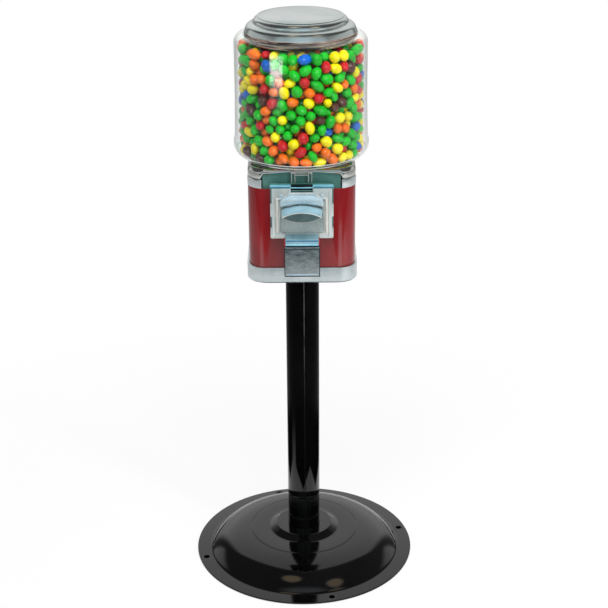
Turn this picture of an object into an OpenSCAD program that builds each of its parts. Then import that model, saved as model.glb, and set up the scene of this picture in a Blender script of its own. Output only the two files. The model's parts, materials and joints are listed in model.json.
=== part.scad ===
// Gumball machine on a pole stand. Millimetres, +Z up, the front faces -Y.
// The origin is on the floor, on the axis of the pole.

/* [Stand] */
// Diameter of the round base
base_d = 412; // [390:1:520]
// Width of the flat rim around the dome
rim_w = 26; // [22:1:34]
// Thickness of the rim
rim_t = 3; // [2.5:0.5:5]
// Height of the dome above the rim
dome_h = 42; // [32:1:60]
// Wall of the cast dome
dome_wall = 6; // [5:0.5:8]
// How full the dome is, as the exponent of its curve
dome_fullness = 2.6; // [2:0.1:3.2]
// Height of the boss around the pole
boss_h = 6; // [4:1:10]
// Depth of the socket that the pole stands in
socket_h = 8; // [6:1:12]
// Diameter of the anchor holes in the rim
anchor_d = 10; // [8:0.5:12]
// Number of anchor holes
anchor_n = 4; // [3:1:8]
// Angle of the first anchor hole
anchor_turn = 15; // [0:1:89]
// Outside diameter of the pole
pole_d = 60; // [50:1:76]
// Wall of the pole
pole_wall = 2.5; // [2:0.25:4]
// Length of the pole
pole_l = 541; // [300:1:800]
// Side of the square plate on top of the pole
plate_w = 120; // [110:1:140]
// Thickness of that plate
plate_t = 4; // [3:0.5:6]
// Distance of the plate bolts from the axis, along X and Y
plate_bolt_x = 45; // [42:1:48]

/* [Body] */
// Width of the red housing
body_w = 184; // [180:1:224]
// Radius of its upright corners
corner_r = 32; // [26:1:36]
// Wall of the red housing
shell_t = 1.5; // [1:0.25:2.5]
// Height of the red housing
shell_h = 152; // [150:1:190]
// Height of the tray under it
tray_h = 26; // [24:1:34]
// Wall of the tray beside the housing
tray_wall = 3.3; // [2:0.1:5]
// Thickness of the tray's floor
tray_floor = 4; // [3:0.5:6]
// Height of the ledge inside the tray that the housing stands on
ledge_h = 12; // [11:1:14]
// Height of the collar on the housing
collar_h = 15; // [13:1:20]
// Wall of the collar
collar_wall = 5; // [4:0.5:6]
// Height of the seat ring on the collar
seat_h = 20; // [18:1:26]
// Width of the front cut-out in the collar and seat
cutout_w = 136; // [120:1:140]

/* [Canister and lid] */
// Diameter of the clear wall
canister_d = 226; // [210:1:280]
// How far the rolled lip stands out from the wall
lip_out = 3.7; // [2:0.1:6]
// Wall of the canister
canister_t = 2.5; // [2:0.25:4]
// Height of the canister
canister_h = 210; // [150:1:300]
// Radius of the rounded bottom edge
bottom_r = 22; // [18:1:28]
// Radius of the shoulder
shoulder_r = 14; // [10:1:18]
// Diameter of the mouth
mouth_d = 185; // [170:1:190]
// How far the lid's flange reaches past the mouth
lid_over = 3; // [2:0.5:6]
// Height of the lid above the canister
lid_h = 33; // [28:1:44]
// How far the lid's skirt reaches into the canister
skirt_h = 11; // [8:1:16]
// Wall of the lid
lid_t = 2.2; // [1.5:0.1:3]
// How far the raised disc lies inside the flange
disc_in = 16.5; // [12:0.5:22]

/* [Product wheel] */
// Radius of the wheel
wheel_r = 76.5; // [74:0.5:77]
// Height of the wheel
wheel_h = 19; // [17:1:22]
// Number of pockets
pocket_n = 6; // [4:1:6]
// Radius of each pocket
pocket_r = 13.5; // [10:0.5:14]
// Distance of the pockets from the axis
pocket_at = 61; // [60:0.5:62]
// Direction of the drop hole, seen from above
drop_turn = 200; // [195:1:205]
// Radius of the centre rod
rod_r = 6; // [5:0.5:7]

/* [Gear train] */
// Pitch of the teeth, as a module
tooth_module = 2; // [1.9:0.1:2.1]
// Teeth on the handle's gear
drive_teeth = 12; // [12:2:12]
// Teeth on the idler
idler_teeth = 12; // [12:2:12]
// Teeth under the wheel
crown_teeth = 36; // [36:1:36]
// Thickness of a tooth at the pitch line
tooth_t = 2.3; // [2:0.1:2.4]
// Width of the gears
gear_w = 6; // [5:0.5:7]

/* [Coin mechanism] */
// Width of the front casting
face_w = 107; // [100:1:112]
// Height of the front casting below the handle's axis
face_down = 51.4; // [48:0.1:52]
// Height of the front casting above the handle's axis
face_up = 44.2; // [43:0.1:46]
// Depth of the front casting
face_depth = 12; // [10:0.5:16]
// Radius of the drive shaft
shaft_r = 5; // [4:0.5:6]
// Radius of the coin wheel
coin_wheel_r = 30; // [28:0.5:30]
// Radius of the coin pocket
coin_r = 12.4; // [11:0.1:13]
// Length of the wing grip
grip_l = 68; // [56:1:72]
// Thickness of the wing grip at its middle
grip_t = 18; // [15:0.5:22]
// How far the grip stands out from its flange
grip_out = 30; // [24:1:36]
// Radius of the flange behind the grip
grip_flange_r = 27; // [22:0.5:32]

/* [Chute] */
// Width of the door
door_w = 61; // [58:1:66]
// Height of the door below its hinge
door_h = 58; // [46:1:58]
// Thickness of the door
door_t = 3.5; // [2.5:0.5:5]
// Radius of the hinge pin
door_pin_r = 2; // [1.5:0.1:2.5]
// Height of the mouth behind the door
spout_h = 48; // [40:1:48]
// Depth of that mouth
spout_depth = 17; // [12:0.5:17]
// Height of the block above the door
block_h = 16; // [14:1:16]
// Wall of the duct
duct_t = 1.5; // [1.2:0.1:2.5]

/* [Fits] */
// Gap between pieces that are fixed together
fit = 0.2; // [0.1:0.05:0.3]
// Gap of a shaft or pin in its hole
run = 0.05; // [0.03:0.01:0.08]
// Gap between faces that move past each other
slip = 0.4; // [0.3:0.05:0.5]

// Gap of a pin that is pressed into its hole
press = 0.02; // [0.01:0.01:0.03]

/* [Hidden] */
$fn = 72;
pole_r = pole_d / 2;

// Stand, from the floor up
dome_r = base_d / 2 - rim_w;
dome_top_r = pole_r + 30;
boss_r = pole_r + 14;
dome_top_z = rim_t + dome_h;
boss_z = dome_top_z + boss_h;
pole_z = boss_z - socket_h;
web_t = 7;
pole_bolt_r = 7;
pole_washer_t = 3;
pole_washer_r = 20;
pole_bolt_head = 9;
plug_h = 15;
plate_z = pole_z + pole_l;
plate_bolt_r = 3;
plate_nut_h = 5;
plate_head_h = 4;
anchor_r = (base_d / 2 + dome_r) / 2;

// Body, from the plate up
tray_z = plate_z + plate_t;
tray_top = tray_z + tray_h;
tray_w = body_w + 2 * (tray_wall + fit);
shell_z = tray_z + tray_floor + ledge_h;
ledge_w = 6;
collar_z = shell_z + shell_h;
collar_lip = 8;
seat_z = collar_z + collar_h;
seat_top = seat_z + seat_h;
front = -body_w / 2;
cutout_top = seat_top - 7;
rod_nut_h = 8;
rod_nut_r = 10;

// Hopper under the canister
pan_t = 3;
pan_gap = 0.7;
pan_wall = 2.8;
pan_lip_h = 3;
pan_lip_w = 3;
wheel_gap = 0.3;
shield_t = 2;
pan_in_r = wheel_r + pan_gap;
pan_r = pan_in_r + pan_wall;
pan_lip_r = pan_r + pan_lip_w;
pan_top = seat_top - 3;
wheel_top = pan_top - 1;
wheel_z = wheel_top - wheel_h;
pan_z = wheel_z - wheel_gap - pan_t;
drop_x = pocket_at * cos(drop_turn);
drop_y = pocket_at * sin(drop_turn);
drop_r = pocket_r + 0.5;

// Gears, from the wheel down to the handle
drive_r = tooth_module * drive_teeth / 2;
idler_r = tooth_module * idler_teeth / 2;
crown_r = tooth_module * crown_teeth / 2;
tooth_up = 0.9 * tooth_module;
tooth_down = 1.15 * tooth_module;
tooth_slope = tan(20);
crown_w = 8;
crown_body = 6;
crown_pitch_z = pan_z - crown_body - tooth_down + 2;
idler_z = crown_pitch_z - idler_r;
handle_z = idler_z - idler_r - drive_r;
gear_y = -crown_r;
gear_front = gear_y - gear_w / 2;
gear_back = gear_y + gear_w / 2;
gear_plate_t = 3;
gear_plate_y = gear_front - slip - gear_plate_t;
gear_plate_left = 22;
gear_plate_down = 24;
gear_plate_up = idler_r + drive_r + idler_r - tooth_up - 2;
gear_plate_right = 42;
idler_pin_r = 4;
idler_head_r = 6.5;
idler_head_t = 1.6;
clip_r = 8;
clip_t = 1;
post_r = 3.5;
post_places = [[-18, -18], [36, -18], [-18, 26], [36, 10]];

// Coin mechanism, from the front of the housing back
face_back = front - fit;
face_front = front - face_depth;
face_wall = 3.5;
rail_w = 7.5;
rail_out = 2;
boss_w = 72;
boss_out = 3;
boss_up = 20;
boss_down = 41;
hood_out = 6;
hood_up = 35;
hood_top_w = 40;
pad_r = 24;
slot_w = 34;
slot_down = 31;
coin_wheel_t = 3;
coin_wheel_y = front + slip;
coin_at = 19;
panel_t = 2;
panel_y = front + 4;
panel_w = cutout_w - 4;
back_t = 3;
back_y = panel_y + panel_t;
back_w = 96;
back_down = 40;
back_up = 42;
bush_r = 8;
bush_lip_r = 10;
bush_lip_t = 1.5;
guide_in = 12.7;
guide_w = 4.8;
guide_out = 3;
screw_r = 2;
screw_head_r = 3.5;
screw_head_t = 2;
screw_places = [[-38, 27], [38, 27], [-41.5, -36], [41.5, -36]];
pawl_x = 38;
pawl_z = 18;
pawl_pin_r = 2;
pawl_eye_r = 5;
handle_y = front - face_depth - hood_out - slip;
grip_flange_t = 4;
grip_round = (grip_l * grip_l / 4 + grip_t * grip_t / 4) / grip_t;
shaft_in_grip = 18;
set_screw_r = 2;
set_screw_in = 10;

// Chute, from the tray up
spout_z = tray_top + 1;
spout_w = door_w - 1.4;
spout_wall = 3;
hinge_z = spout_z + spout_h + 1;
hinge_y = front - 22;
barrel_r = door_pin_r + 1.7;
ear_t = 2.2;
ear_r = 4.5;
block_z = hinge_z + barrel_r + 0.6;
block_top = hinge_z + block_h;
block_out = 26;
block_back = face_depth + slip;
block_round = block_top - block_z - 1;
block_tongue = 2;
duct_half = drop_r + 0.2;
duct_top = pan_z - 0.5;
duct_z = handle_z - 18;
mouth_l = shell_t + 1;
mouth_half = spout_w / 2 - spout_wall + 0.5;
mouth_z = spout_z + spout_wall - 1;
mouth_top = spout_z + spout_h - spout_wall + 0.5;

// Canister and lid
canister_r = canister_d / 2;
lip_r = canister_r + lip_out;
canister_z = seat_top;
canister_top = canister_z + canister_h;
lip_h = 5;
floor_t = 3;
floor_hole_r = pan_in_r + 1.8;
mouth_r = mouth_d / 2;
lid_r = mouth_r + lid_over;
skirt_r = mouth_r - 1.5;
lid_z = canister_top + 0.3;
lid_top = canister_top + lid_h;
disc_r = lid_r - disc_in;
disc_round = 4;
disc_h = 9;
flange_h = 7;
crown_bulge = 1;
lid_boss_r = 14;
lid_bush_r = 10;
lid_bush_h = 13;
rod_top = lid_top - 10;
cone_r = 26;
cone_h = 22;
cone_top_r = 9;
fill_gap = 0.5;
fill_top = canister_top - skirt_h - 4;
fill_slope = 4;

// Points of an arc around a centre, from one angle to another
function arc(x, y, r, from, to, steps) =
    [for (i = [0:steps]) let (a = from + (to - from) * i / steps) [x + r * cos(a), y + r * sin(a)]];

// Height of the dome's outside, where t runs from 0 at the rim to 1 at the flat top
function dome_z(t) = rim_t + dome_h * (1 - pow(1 - t, dome_fullness));
function dome_at(t) = dome_r + (dome_top_r - dome_r) * t;

// Square with round corners
module rounded_square(w, r) {
    square([w, w - 2 * r], center = true);
    square([w - 2 * r, w], center = true);
    for (x = [-1, 1], y = [-1, 1])
        translate([x * (w / 2 - r), y * (w / 2 - r)]) circle(r);
}

module rounded_block(w, r, z, h) {
    translate([0, 0, z]) linear_extrude(h) rounded_square(w, r);
}

// Extrudes an outline drawn in X and Z along Y, from the front to the back
module along_y(y_front, y_back) {
    translate([0, y_back, 0]) rotate([90, 0, 0]) linear_extrude(y_back - y_front) children();
}

// The same, with the outline's Z counted from the handle's axis
module on_axis(y_front, y_back) {
    translate([0, 0, handle_z]) along_y(y_front, y_back) children();
}

// Extrudes an outline drawn in Y and Z along X, centred
module along_x(w) {
    translate([-w / 2, 0, 0]) rotate([90, 0, 90]) linear_extrude(w) children();
}

// Rectangle between two corners
module span(x0, z0, x1, z1) {
    translate([x0, z0]) square([x1 - x0, z1 - z0]);
}

module tube(outer, inner, z, h) {
    translate([0, 0, z]) difference() {
        cylinder(r = outer, h = h);
        translate([0, 0, -1]) cylinder(r = inner, h = h + 2);
    }
}

module hexagon(r, z, h) {
    translate([0, 0, z]) cylinder(r = r, h = h, $fn = 6);
}

// Outline of one tooth that points up from the pitch line
module tooth(root_drop) {
    tip = tooth_t / 2 - tooth_up * tooth_slope;
    root = tooth_t / 2 + root_drop * tooth_slope;
    polygon([[-root, -root_drop], [root, -root_drop], [tip, tooth_up], [-tip, tooth_up]]);
}

module spur_gear(teeth, pitch_r, turn, bore) {
    difference() {
        union() {
            circle(pitch_r - tooth_down);
            for (i = [0:teeth - 1])
                rotate(turn + i * 360 / teeth) translate([0, pitch_r]) tooth(tooth_down + 0.4);
        }
        circle(bore);
    }
}

module four_corners(x) {
    for (i = [-1, 1], j = [-1, 1]) translate([i * x, j * x, 0]) children();
}

// Stand

module base_plate() {
    steps = 16;
    outside = [for (i = [0:steps]) [dome_at(i / steps), dome_z(i / steps)]];
    inside = [for (i = [steps:-1:0])
        [dome_at(i / steps) - dome_wall / 2, max(0, dome_z(i / steps) - dome_wall)]];
    rim = [[base_d / 2, 0], [base_d / 2, rim_t - 0.8], [base_d / 2 - 0.8, rim_t]];
    boss = [[boss_r, boss_z - 1], [boss_r - 1, boss_z], [pole_r + run, boss_z], [pole_r + run, pole_z]];
    bolt_hole_r = pole_bolt_r + 0.5;
    hub = [[bolt_hole_r, pole_z], [bolt_hole_r, pole_z - web_t], [dome_top_r - 10, pole_z - web_t]];
    color("#17171a") difference() {
        rotate_extrude() polygon(concat(rim, outside, boss, hub, inside));
        for (i = [0:anchor_n - 1]) rotate(anchor_turn + i * 360 / anchor_n)
            translate([anchor_r, 0, -1]) cylinder(d = anchor_d, h = rim_t + 2);
    }
}

module pole() {
    color("#141416") tube(pole_r, pole_r - pole_wall, pole_z, pole_l);
}

module pole_plug() {
    color("#55555a") tube(pole_r - pole_wall - fit, pole_bolt_r + run, pole_z, plug_h);
}

module pole_bolt() {
    head_z = pole_z - web_t - pole_washer_t - pole_bolt_head;
    color("#8a8a8e") {
        hexagon(12, head_z, pole_bolt_head);
        translate([0, 0, head_z]) cylinder(r = pole_bolt_r, h = pole_z + plug_h - 2 - head_z);
    }
}

module pole_washer() {
    color("#8a8a8e") tube(pole_washer_r, pole_bolt_r + 0.3, pole_z - web_t - pole_washer_t, pole_washer_t);
}

module pole_plate() {
    color("#1b1b1e") difference() {
        translate([-plate_w / 2, -plate_w / 2, plate_z]) cube([plate_w, plate_w, plate_t]);
        translate([0, 0, plate_z - 1]) cylinder(r = rod_nut_r + 5, h = plate_t + 2);
        four_corners(plate_bolt_x)
            translate([0, 0, plate_z - 1]) cylinder(r = plate_bolt_r + fit, h = plate_t + 2);
    }
}

module plate_bolts() {
    shank = plate_head_h + plate_t + tray_floor + plate_nut_h + 2;
    color("#8a8a8e") four_corners(plate_bolt_x) {
        hexagon(5.8, plate_z - plate_head_h, plate_head_h);
        translate([0, 0, plate_z - plate_head_h]) cylinder(r = plate_bolt_r, h = shank);
    }
}

module plate_nuts() {
    color("#9a9a9e") four_corners(plate_bolt_x) difference() {
        hexagon(5.8, tray_z + tray_floor, plate_nut_h);
        translate([0, 0, tray_z]) cylinder(r = plate_bolt_r + run, h = tray_floor + plate_nut_h + 1);
    }
}

// Body

module base_tray() {
    color("#c9c9cc") difference() {
        rounded_block(tray_w, corner_r + tray_wall + fit, tray_z, tray_h);
        rounded_block(body_w + 2 * fit, corner_r + fit, shell_z, tray_h);
        rounded_block(body_w - 2 * ledge_w, corner_r - ledge_w, tray_z + tray_floor, tray_h);
        translate([0, 0, tray_z - 1]) cylinder(r = rod_r + fit, h = tray_floor + 2);
        four_corners(plate_bolt_x)
            translate([0, 0, tray_z - 1]) cylinder(r = plate_bolt_r + fit, h = tray_floor + 2);
    }
}

module body_shell() {
    hole_w = face_w - 7;
    color("#8c141e") difference() {
        rounded_block(body_w, corner_r, shell_z, shell_h);
        rounded_block(body_w - 2 * shell_t, corner_r - shell_t, shell_z - 1, shell_h + 2);
        along_y(front - 1, front + 10)
            span(-hole_w / 2, handle_z - face_down + face_wall, hole_w / 2, collar_z + 1);
        along_y(front - 1, front + 10)
            span(-mouth_half - 2.5, mouth_z - 2.5, mouth_half + 2.5, mouth_top + 2.5);
    }
}

module top_collar() {
    inner_w = body_w - 2 * collar_wall;
    lip_w = body_w - 2 * shell_t - 2 * fit;
    color("#c4c4c8") difference() {
        union() {
            rounded_block(body_w + 1, corner_r + 0.5, collar_z, collar_h);
            rounded_block(lip_w, corner_r - shell_t - fit, collar_z - collar_lip, collar_lip + 1);
        }
        rounded_block(inner_w, corner_r - collar_wall, collar_z - collar_lip - 1, collar_h + collar_lip + 2);
        along_y(front - 2, front + 14)
            span(-cutout_w / 2, collar_z - collar_lip - 1, cutout_w / 2, seat_z + 1);
    }
}

module canister_seat() {
    edge = 3;
    color("#d6d6da") difference() {
        union() {
            rounded_block(body_w, corner_r, seat_z, seat_h - edge);
            rounded_block(body_w - 2 * edge, corner_r - edge, seat_top - edge - 1, edge + 1);
        }
        translate([0, 0, seat_z - 1]) cylinder(r = pan_r + slip, h = seat_h + 2);
        translate([0, 0, pan_top - pan_lip_h]) cylinder(r = pan_lip_r + slip, h = seat_h);
        along_y(front - 1, -pan_r + 6) span(-cutout_w / 2, seat_z - 1, cutout_w / 2, cutout_top);
    }
}

module center_rod() {
    color("#a5a5aa") translate([0, 0, tray_z - rod_nut_h - 6])
        cylinder(r = rod_r, h = rod_top - tray_z + rod_nut_h + 6);
}

module rod_nuts() {
    color("#9a9a9e") for (z = [tray_z - rod_nut_h, tray_z + tray_floor]) difference() {
        hexagon(rod_nut_r, z, rod_nut_h);
        translate([0, 0, z - 1]) cylinder(r = rod_r + run, h = rod_nut_h + 2);
    }
}

module coin_box() {
    wall = 1.5;
    clear = 10;
    box_w = body_w - 2 * ledge_w - 16;
    y_front = rod_nut_r + 4;
    box_l = body_w / 2 - ledge_w - 6 - y_front;
    box_h = 46;
    z = tray_z + tray_floor + ledge_h;
    color("#3a3a3e") difference() {
        union() {
            translate([-box_w / 2, y_front, z]) cube([box_w, box_l, box_h]);
            for (x = [-1, 1])
                translate([x * (box_w / 2 - clear) - wall, y_front, tray_z + tray_floor])
                    cube([2 * wall, box_l, ledge_h + 0.5]);
        }
        translate([-box_w / 2 + wall, y_front + wall, z + wall])
            cube([box_w - 2 * wall, box_l - 2 * wall, box_h]);
    }
}

// Canister, candies and lid

module canister() {
    bottom_z = canister_z + bottom_r;
    shoulder_z = canister_top - shoulder_r;
    in_r = canister_r - canister_t;
    outside = concat(
        [[floor_hole_r, canister_z]],
        arc(lip_r - bottom_r, bottom_z, bottom_r, -90, 0, 10),
        [[lip_r, bottom_z + lip_h], [canister_r, bottom_z + lip_h + lip_out]],
        arc(canister_r - shoulder_r, shoulder_z, shoulder_r, 0, 90, 8),
        [[mouth_r, canister_top]]);
    inside = concat(
        [[mouth_r, canister_top - canister_t]],
        arc(canister_r - shoulder_r, shoulder_z, shoulder_r - canister_t, 90, 0, 8),
        [[in_r, bottom_z + lip_h]],
        arc(lip_r - bottom_r, bottom_z, bottom_r - floor_t - lip_out + canister_t, 0, -90, 10),
        [[floor_hole_r, canister_z + floor_t + lip_out - canister_t]]);
    color("#dfe6ea", 0.35) rotate_extrude() polygon(concat(outside, inside));
}

module candy_fill() {
    bottom_z = canister_z + bottom_r;
    wall_r = canister_r - canister_t - fill_gap;
    floor_z = canister_z + floor_t + lip_out - canister_t + fill_gap;
    round_r = bottom_z - floor_z;
    shape = concat(
        [[rod_r + fill_gap, fill_top], [rod_r + fill_gap, wheel_top + cone_h + 1],
         [cone_top_r + fill_gap, wheel_top + cone_h + 1], [cone_r + fill_gap, floor_z]],
        arc(lip_r - bottom_r - 1, bottom_z, round_r, -90, -8, 8),
        [[wall_r, bottom_z + lip_h], [wall_r, fill_top - fill_slope], [wall_r - 10, fill_top]]);
    color("#7a9a2c") rotate_extrude() polygon(shape);
}

module lid() {
    disc_edge = lid_top - crown_bulge;
    cove_z = disc_edge - disc_h;
    top_in = disc_edge - lid_t;
    outside = concat(
        [[0, lid_top], [disc_r * 0.6, lid_top - crown_bulge * 0.4]],
        arc(disc_r - disc_round, disc_edge - disc_round, disc_round, 90, 0, 6),
        [[disc_r - 2, cove_z], [disc_r + 3, cove_z - 2]],
        arc(lid_r - 10, lid_z + flange_h, 10, 80, 0, 6),
        [[lid_r, lid_z]]);
    inside = [
        [skirt_r, lid_z], [skirt_r, lid_z - skirt_h], [skirt_r - lid_t, lid_z - skirt_h],
        [skirt_r - lid_t, lid_z + flange_h], [disc_r - lid_t - 3, cove_z - 3], [disc_r - lid_t - 3, top_in],
        [lid_boss_r, top_in], [lid_boss_r, top_in - lid_bush_h], [lid_bush_r + run, top_in - lid_bush_h],
        [lid_bush_r + run, top_in], [0, top_in]];
    color("#d8d8dc") rotate_extrude() polygon(concat(outside, inside));
}

module lid_bush() {
    bush_z = lid_top - crown_bulge - lid_t - lid_bush_h;
    color("#b08d45") tube(lid_bush_r, rod_r + run, bush_z, lid_bush_h - 0.5);
}

// Hopper and product wheel

module hopper_pan() {
    color("#e8e4da") difference() {
        union() {
            translate([0, 0, pan_z]) cylinder(r = pan_r, h = pan_top - pan_z);
            translate([0, 0, pan_top - pan_lip_h]) cylinder(r = pan_lip_r, h = pan_lip_h);
        }
        translate([0, 0, pan_z + pan_t]) cylinder(r = pan_in_r, h = pan_top);
        translate([0, 0, pan_z - 1]) cylinder(r = crown_r + crown_w, h = pan_t + 2);
        translate([drop_x, drop_y, pan_z - 1]) cylinder(r = drop_r, h = pan_t + 2);
    }
}

module product_wheel() {
    color("#c9302c") difference() {
        translate([0, 0, wheel_z]) cylinder(r = wheel_r, h = wheel_h);
        translate([0, 0, wheel_z - 1]) cylinder(r = rod_r + run, h = wheel_h + 2);
        for (i = [0:pocket_n - 1]) rotate(drop_turn + i * 360 / pocket_n)
            translate([pocket_at, 0, wheel_z - 1]) cylinder(r = pocket_r, h = wheel_h + 2);
    }
}

module crown_gear() {
    ring_z = crown_pitch_z + tooth_down;
    color("#e0d9c4") union() {
        tube(crown_r + crown_w / 2 + 1, crown_r - crown_w / 2 - 1, ring_z, wheel_z - ring_z);
        for (i = [0:crown_teeth - 1]) rotate(i * 360 / crown_teeth)
            translate([0, 0, crown_pitch_z]) along_y(-crown_r - crown_w / 2, -crown_r + crown_w / 2)
                mirror([0, 1]) tooth(tooth_down + 0.4);
    }
}

module agitator() {
    color("#d9d4c6") difference() {
        translate([0, 0, wheel_top]) cylinder(r1 = cone_r, r2 = cone_top_r, h = cone_h);
        translate([0, 0, wheel_top - 1]) cylinder(r = rod_r + 0.3, h = cone_h + 2);
    }
}

module drop_shield() {
    color("#d0cabb") intersection() {
        translate([drop_x, drop_y, pan_top]) cylinder(r = pocket_r + 8, h = shield_t);
        translate([0, 0, pan_top]) cylinder(r = pan_r, h = shield_t);
    }
}

// Chute

module duct_slab(grow, z0, z1) {
    half = duct_half + grow;
    translate([drop_x - half, drop_y - half, z0]) cube([2 * half, 2 * half, z1 - z0]);
}

module mouth_slab(grow, y0, y1) {
    half = mouth_half + grow;
    translate([-half, y0, mouth_z - grow]) cube([2 * half, y1 - y0, mouth_top - mouth_z + 2 * grow]);
}

module product_chute() {
    color("#e6e2d8") difference() {
        union() {
            duct_slab(duct_t, duct_z, duct_top);
            mouth_slab(duct_t, front, front + mouth_l + 1);
            hull() {
                duct_slab(duct_t, duct_z, duct_z + 2);
                mouth_slab(duct_t, front + mouth_l, front + mouth_l + 2);
            }
        }
        duct_slab(0, duct_z - 1, duct_top + 1);
        mouth_slab(0, front - 1, front + mouth_l + 1);
        hull() {
            duct_slab(0, duct_z - 1, duct_z + 1.5);
            mouth_slab(0, front + mouth_l - 1, front + mouth_l + 1.5);
        }
    }
}

module chute_spout() {
    half = spout_w / 2;
    color("#b9b9bd") difference() {
        along_y(front - spout_depth, front - fit) span(-half, spout_z, half, spout_z + spout_h);
        along_y(front - spout_depth - 1, front + 1)
            span(-half + spout_wall, spout_z + spout_wall, half - spout_wall, spout_z + spout_h - spout_wall);
    }
}

module chute_housing() {
    half = door_w / 2;
    outline = concat(
        [[front - fit, block_z], [front - block_out, block_z]],
        arc(front - block_out + block_round, block_top - block_round, block_round, 180, 90, 8),
        [[front - block_back, block_top], [front - block_back, block_z + block_tongue],
         [front - fit, block_z + block_tongue]]);
    color("#c8c8cc") difference() {
        union() {
            along_x(door_w) polygon(outline);
            for (x = [-1, 1]) translate([x * (half - ear_t / 2), 0, 0]) along_x(ear_t) {
                translate([hinge_y, hinge_z]) circle(ear_r);
                translate([hinge_y - ear_r, hinge_z]) square([2 * ear_r, block_z - hinge_z + 1]);
            }
        }
        along_x(door_w + 2) translate([hinge_y, hinge_z]) circle(door_pin_r + press);
    }
}

module chute_door() {
    barrel_w = door_w - 2 * ear_t - 2 * slip;
    plate_y = hinge_y - 3;
    color("#5c5d60") difference() {
        union() {
            along_x(barrel_w) translate([hinge_y, hinge_z]) circle(barrel_r);
            along_x(barrel_w) translate([plate_y, hinge_z - ear_r - 1]) square([door_t, ear_r + 1.5]);
            along_x(door_w) translate([plate_y, hinge_z - door_h]) square([door_t, door_h - ear_r - slip]);
        }
        along_x(door_w) translate([hinge_y, hinge_z]) circle(door_pin_r + run);
    }
}

module door_pin() {
    color("#a0a0a4") along_x(door_w - 0.4) translate([hinge_y, hinge_z]) circle(door_pin_r);
}

// Coin mechanism

module mech_faceplate() {
    half = face_w / 2;
    hood = [[-boss_w / 2, boss_up], [boss_w / 2, boss_up],
            [hood_top_w / 2, hood_up], [-hood_top_w / 2, hood_up]];
    color("#cfd0d4") difference() {
        union() {
            on_axis(face_front, face_back) span(-half, -face_down, half, face_up);
            for (x = [-half, half - rail_w])
                on_axis(face_front - rail_out, face_front + 1) span(x, -face_down, x + rail_w, face_up);
            on_axis(face_front - boss_out, face_front + 1)
                span(-boss_w / 2, -boss_down, boss_w / 2, boss_up + 1);
            on_axis(face_front - hood_out, face_front + 1) polygon(hood);
            on_axis(face_front - hood_out, face_front + 1) circle(pad_r);
        }
        on_axis(face_front + face_wall, front + 1)
            span(-half + face_wall, -face_down + face_wall, half - face_wall, face_up - face_wall);
        on_axis(face_front - hood_out - 1, front - 2) span(-slot_w / 2, slot_down, slot_w / 2, face_up - 1.5);
        on_axis(front - 3, front + 1) span(-guide_in, face_up - face_wall - 1, guide_in, face_up + 1);
        on_axis(face_front - hood_out - 1, front) circle(shaft_r + 1);
        for (p = screw_places) on_axis(face_front - rail_out - 1, front) translate(p) circle(screw_r + fit);
    }
}

module mech_panel() {
    z0 = collar_z - 4;
    color("#6f7a74") difference() {
        along_y(panel_y, panel_y + panel_t) span(-panel_w / 2, z0, panel_w / 2, cutout_top - 0.3);
        for (p = screw_places) on_axis(panel_y - 1, panel_y + panel_t + 1) translate(p) circle(screw_r + fit);
    }
}

module coin_rails() {
    z0 = handle_z + face_up + fit;
    color("#d2d2d6") for (x = [-guide_in - guide_w, guide_in]) {
        along_y(panel_y - 4, panel_y) span(x, z0, x + guide_w, cutout_top - 0.5);
        along_y(panel_y - 4 - guide_out, panel_y - 4 - slip + 0.4) span(x, z0, x + guide_w, seat_top - 3);
    }
}

module mech_backplate() {
    color("#9c9da2") difference() {
        on_axis(back_y, back_y + back_t) span(-back_w / 2, -back_down, back_w / 2, back_up);
        on_axis(back_y - 1, back_y + back_t + 1) circle(bush_r + fit / 2);
        on_axis(back_y - 1, back_y + back_t + 1) translate([pawl_x, pawl_z]) circle(pawl_pin_r + press);
        for (p = screw_places) on_axis(back_y - 1, back_y + back_t + 1) translate(p) circle(screw_r + run);
    }
}

module mech_screws() {
    color("#b5b5ba") for (p = screw_places) on_axis(face_front - screw_head_t, face_front)
        translate(p) circle(screw_head_r);
    color("#b5b5ba") for (p = screw_places) on_axis(face_front - 0.5, back_y + back_t + 1)
        translate(p) circle(screw_r);
}

module gear_plate() {
    color("#9c9da2") difference() {
        on_axis(gear_plate_y, gear_plate_y + gear_plate_t)
            span(-gear_plate_left, -gear_plate_down, gear_plate_right, gear_plate_up);
        on_axis(gear_plate_y - 1, gear_front) circle(bush_r + fit / 2);
        translate([0, 0, idler_z - handle_z])
            on_axis(gear_plate_y - 1, gear_front) circle(idler_pin_r + press);
    }
}

module gear_posts() {
    color("#a8a9ae") for (p = post_places) on_axis(back_y + back_t, gear_plate_y) translate(p) circle(post_r);
}

module bush(y, t) {
    on_axis(y, y + t) difference() {
        circle(bush_r);
        circle(shaft_r + run);
    }
    on_axis(y - bush_lip_t, y) difference() {
        circle(bush_lip_r);
        circle(shaft_r + run);
    }
}

module shaft_bushes() {
    color("#b08d45") {
        bush(gear_plate_y, gear_plate_t);
        translate([0, 2 * back_y + back_t, 2 * handle_z]) rotate([180, 0, 0]) bush(back_y, back_t);
    }
}

module drive_shaft() {
    color("#a5a5aa") on_axis(handle_y - shaft_in_grip, gear_back + clip_t + 1) circle(shaft_r);
}

module shaft_clip() {
    color("#77777b") on_axis(gear_back, gear_back + clip_t) difference() {
        circle(clip_r);
        circle(shaft_r + run);
    }
}

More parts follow.
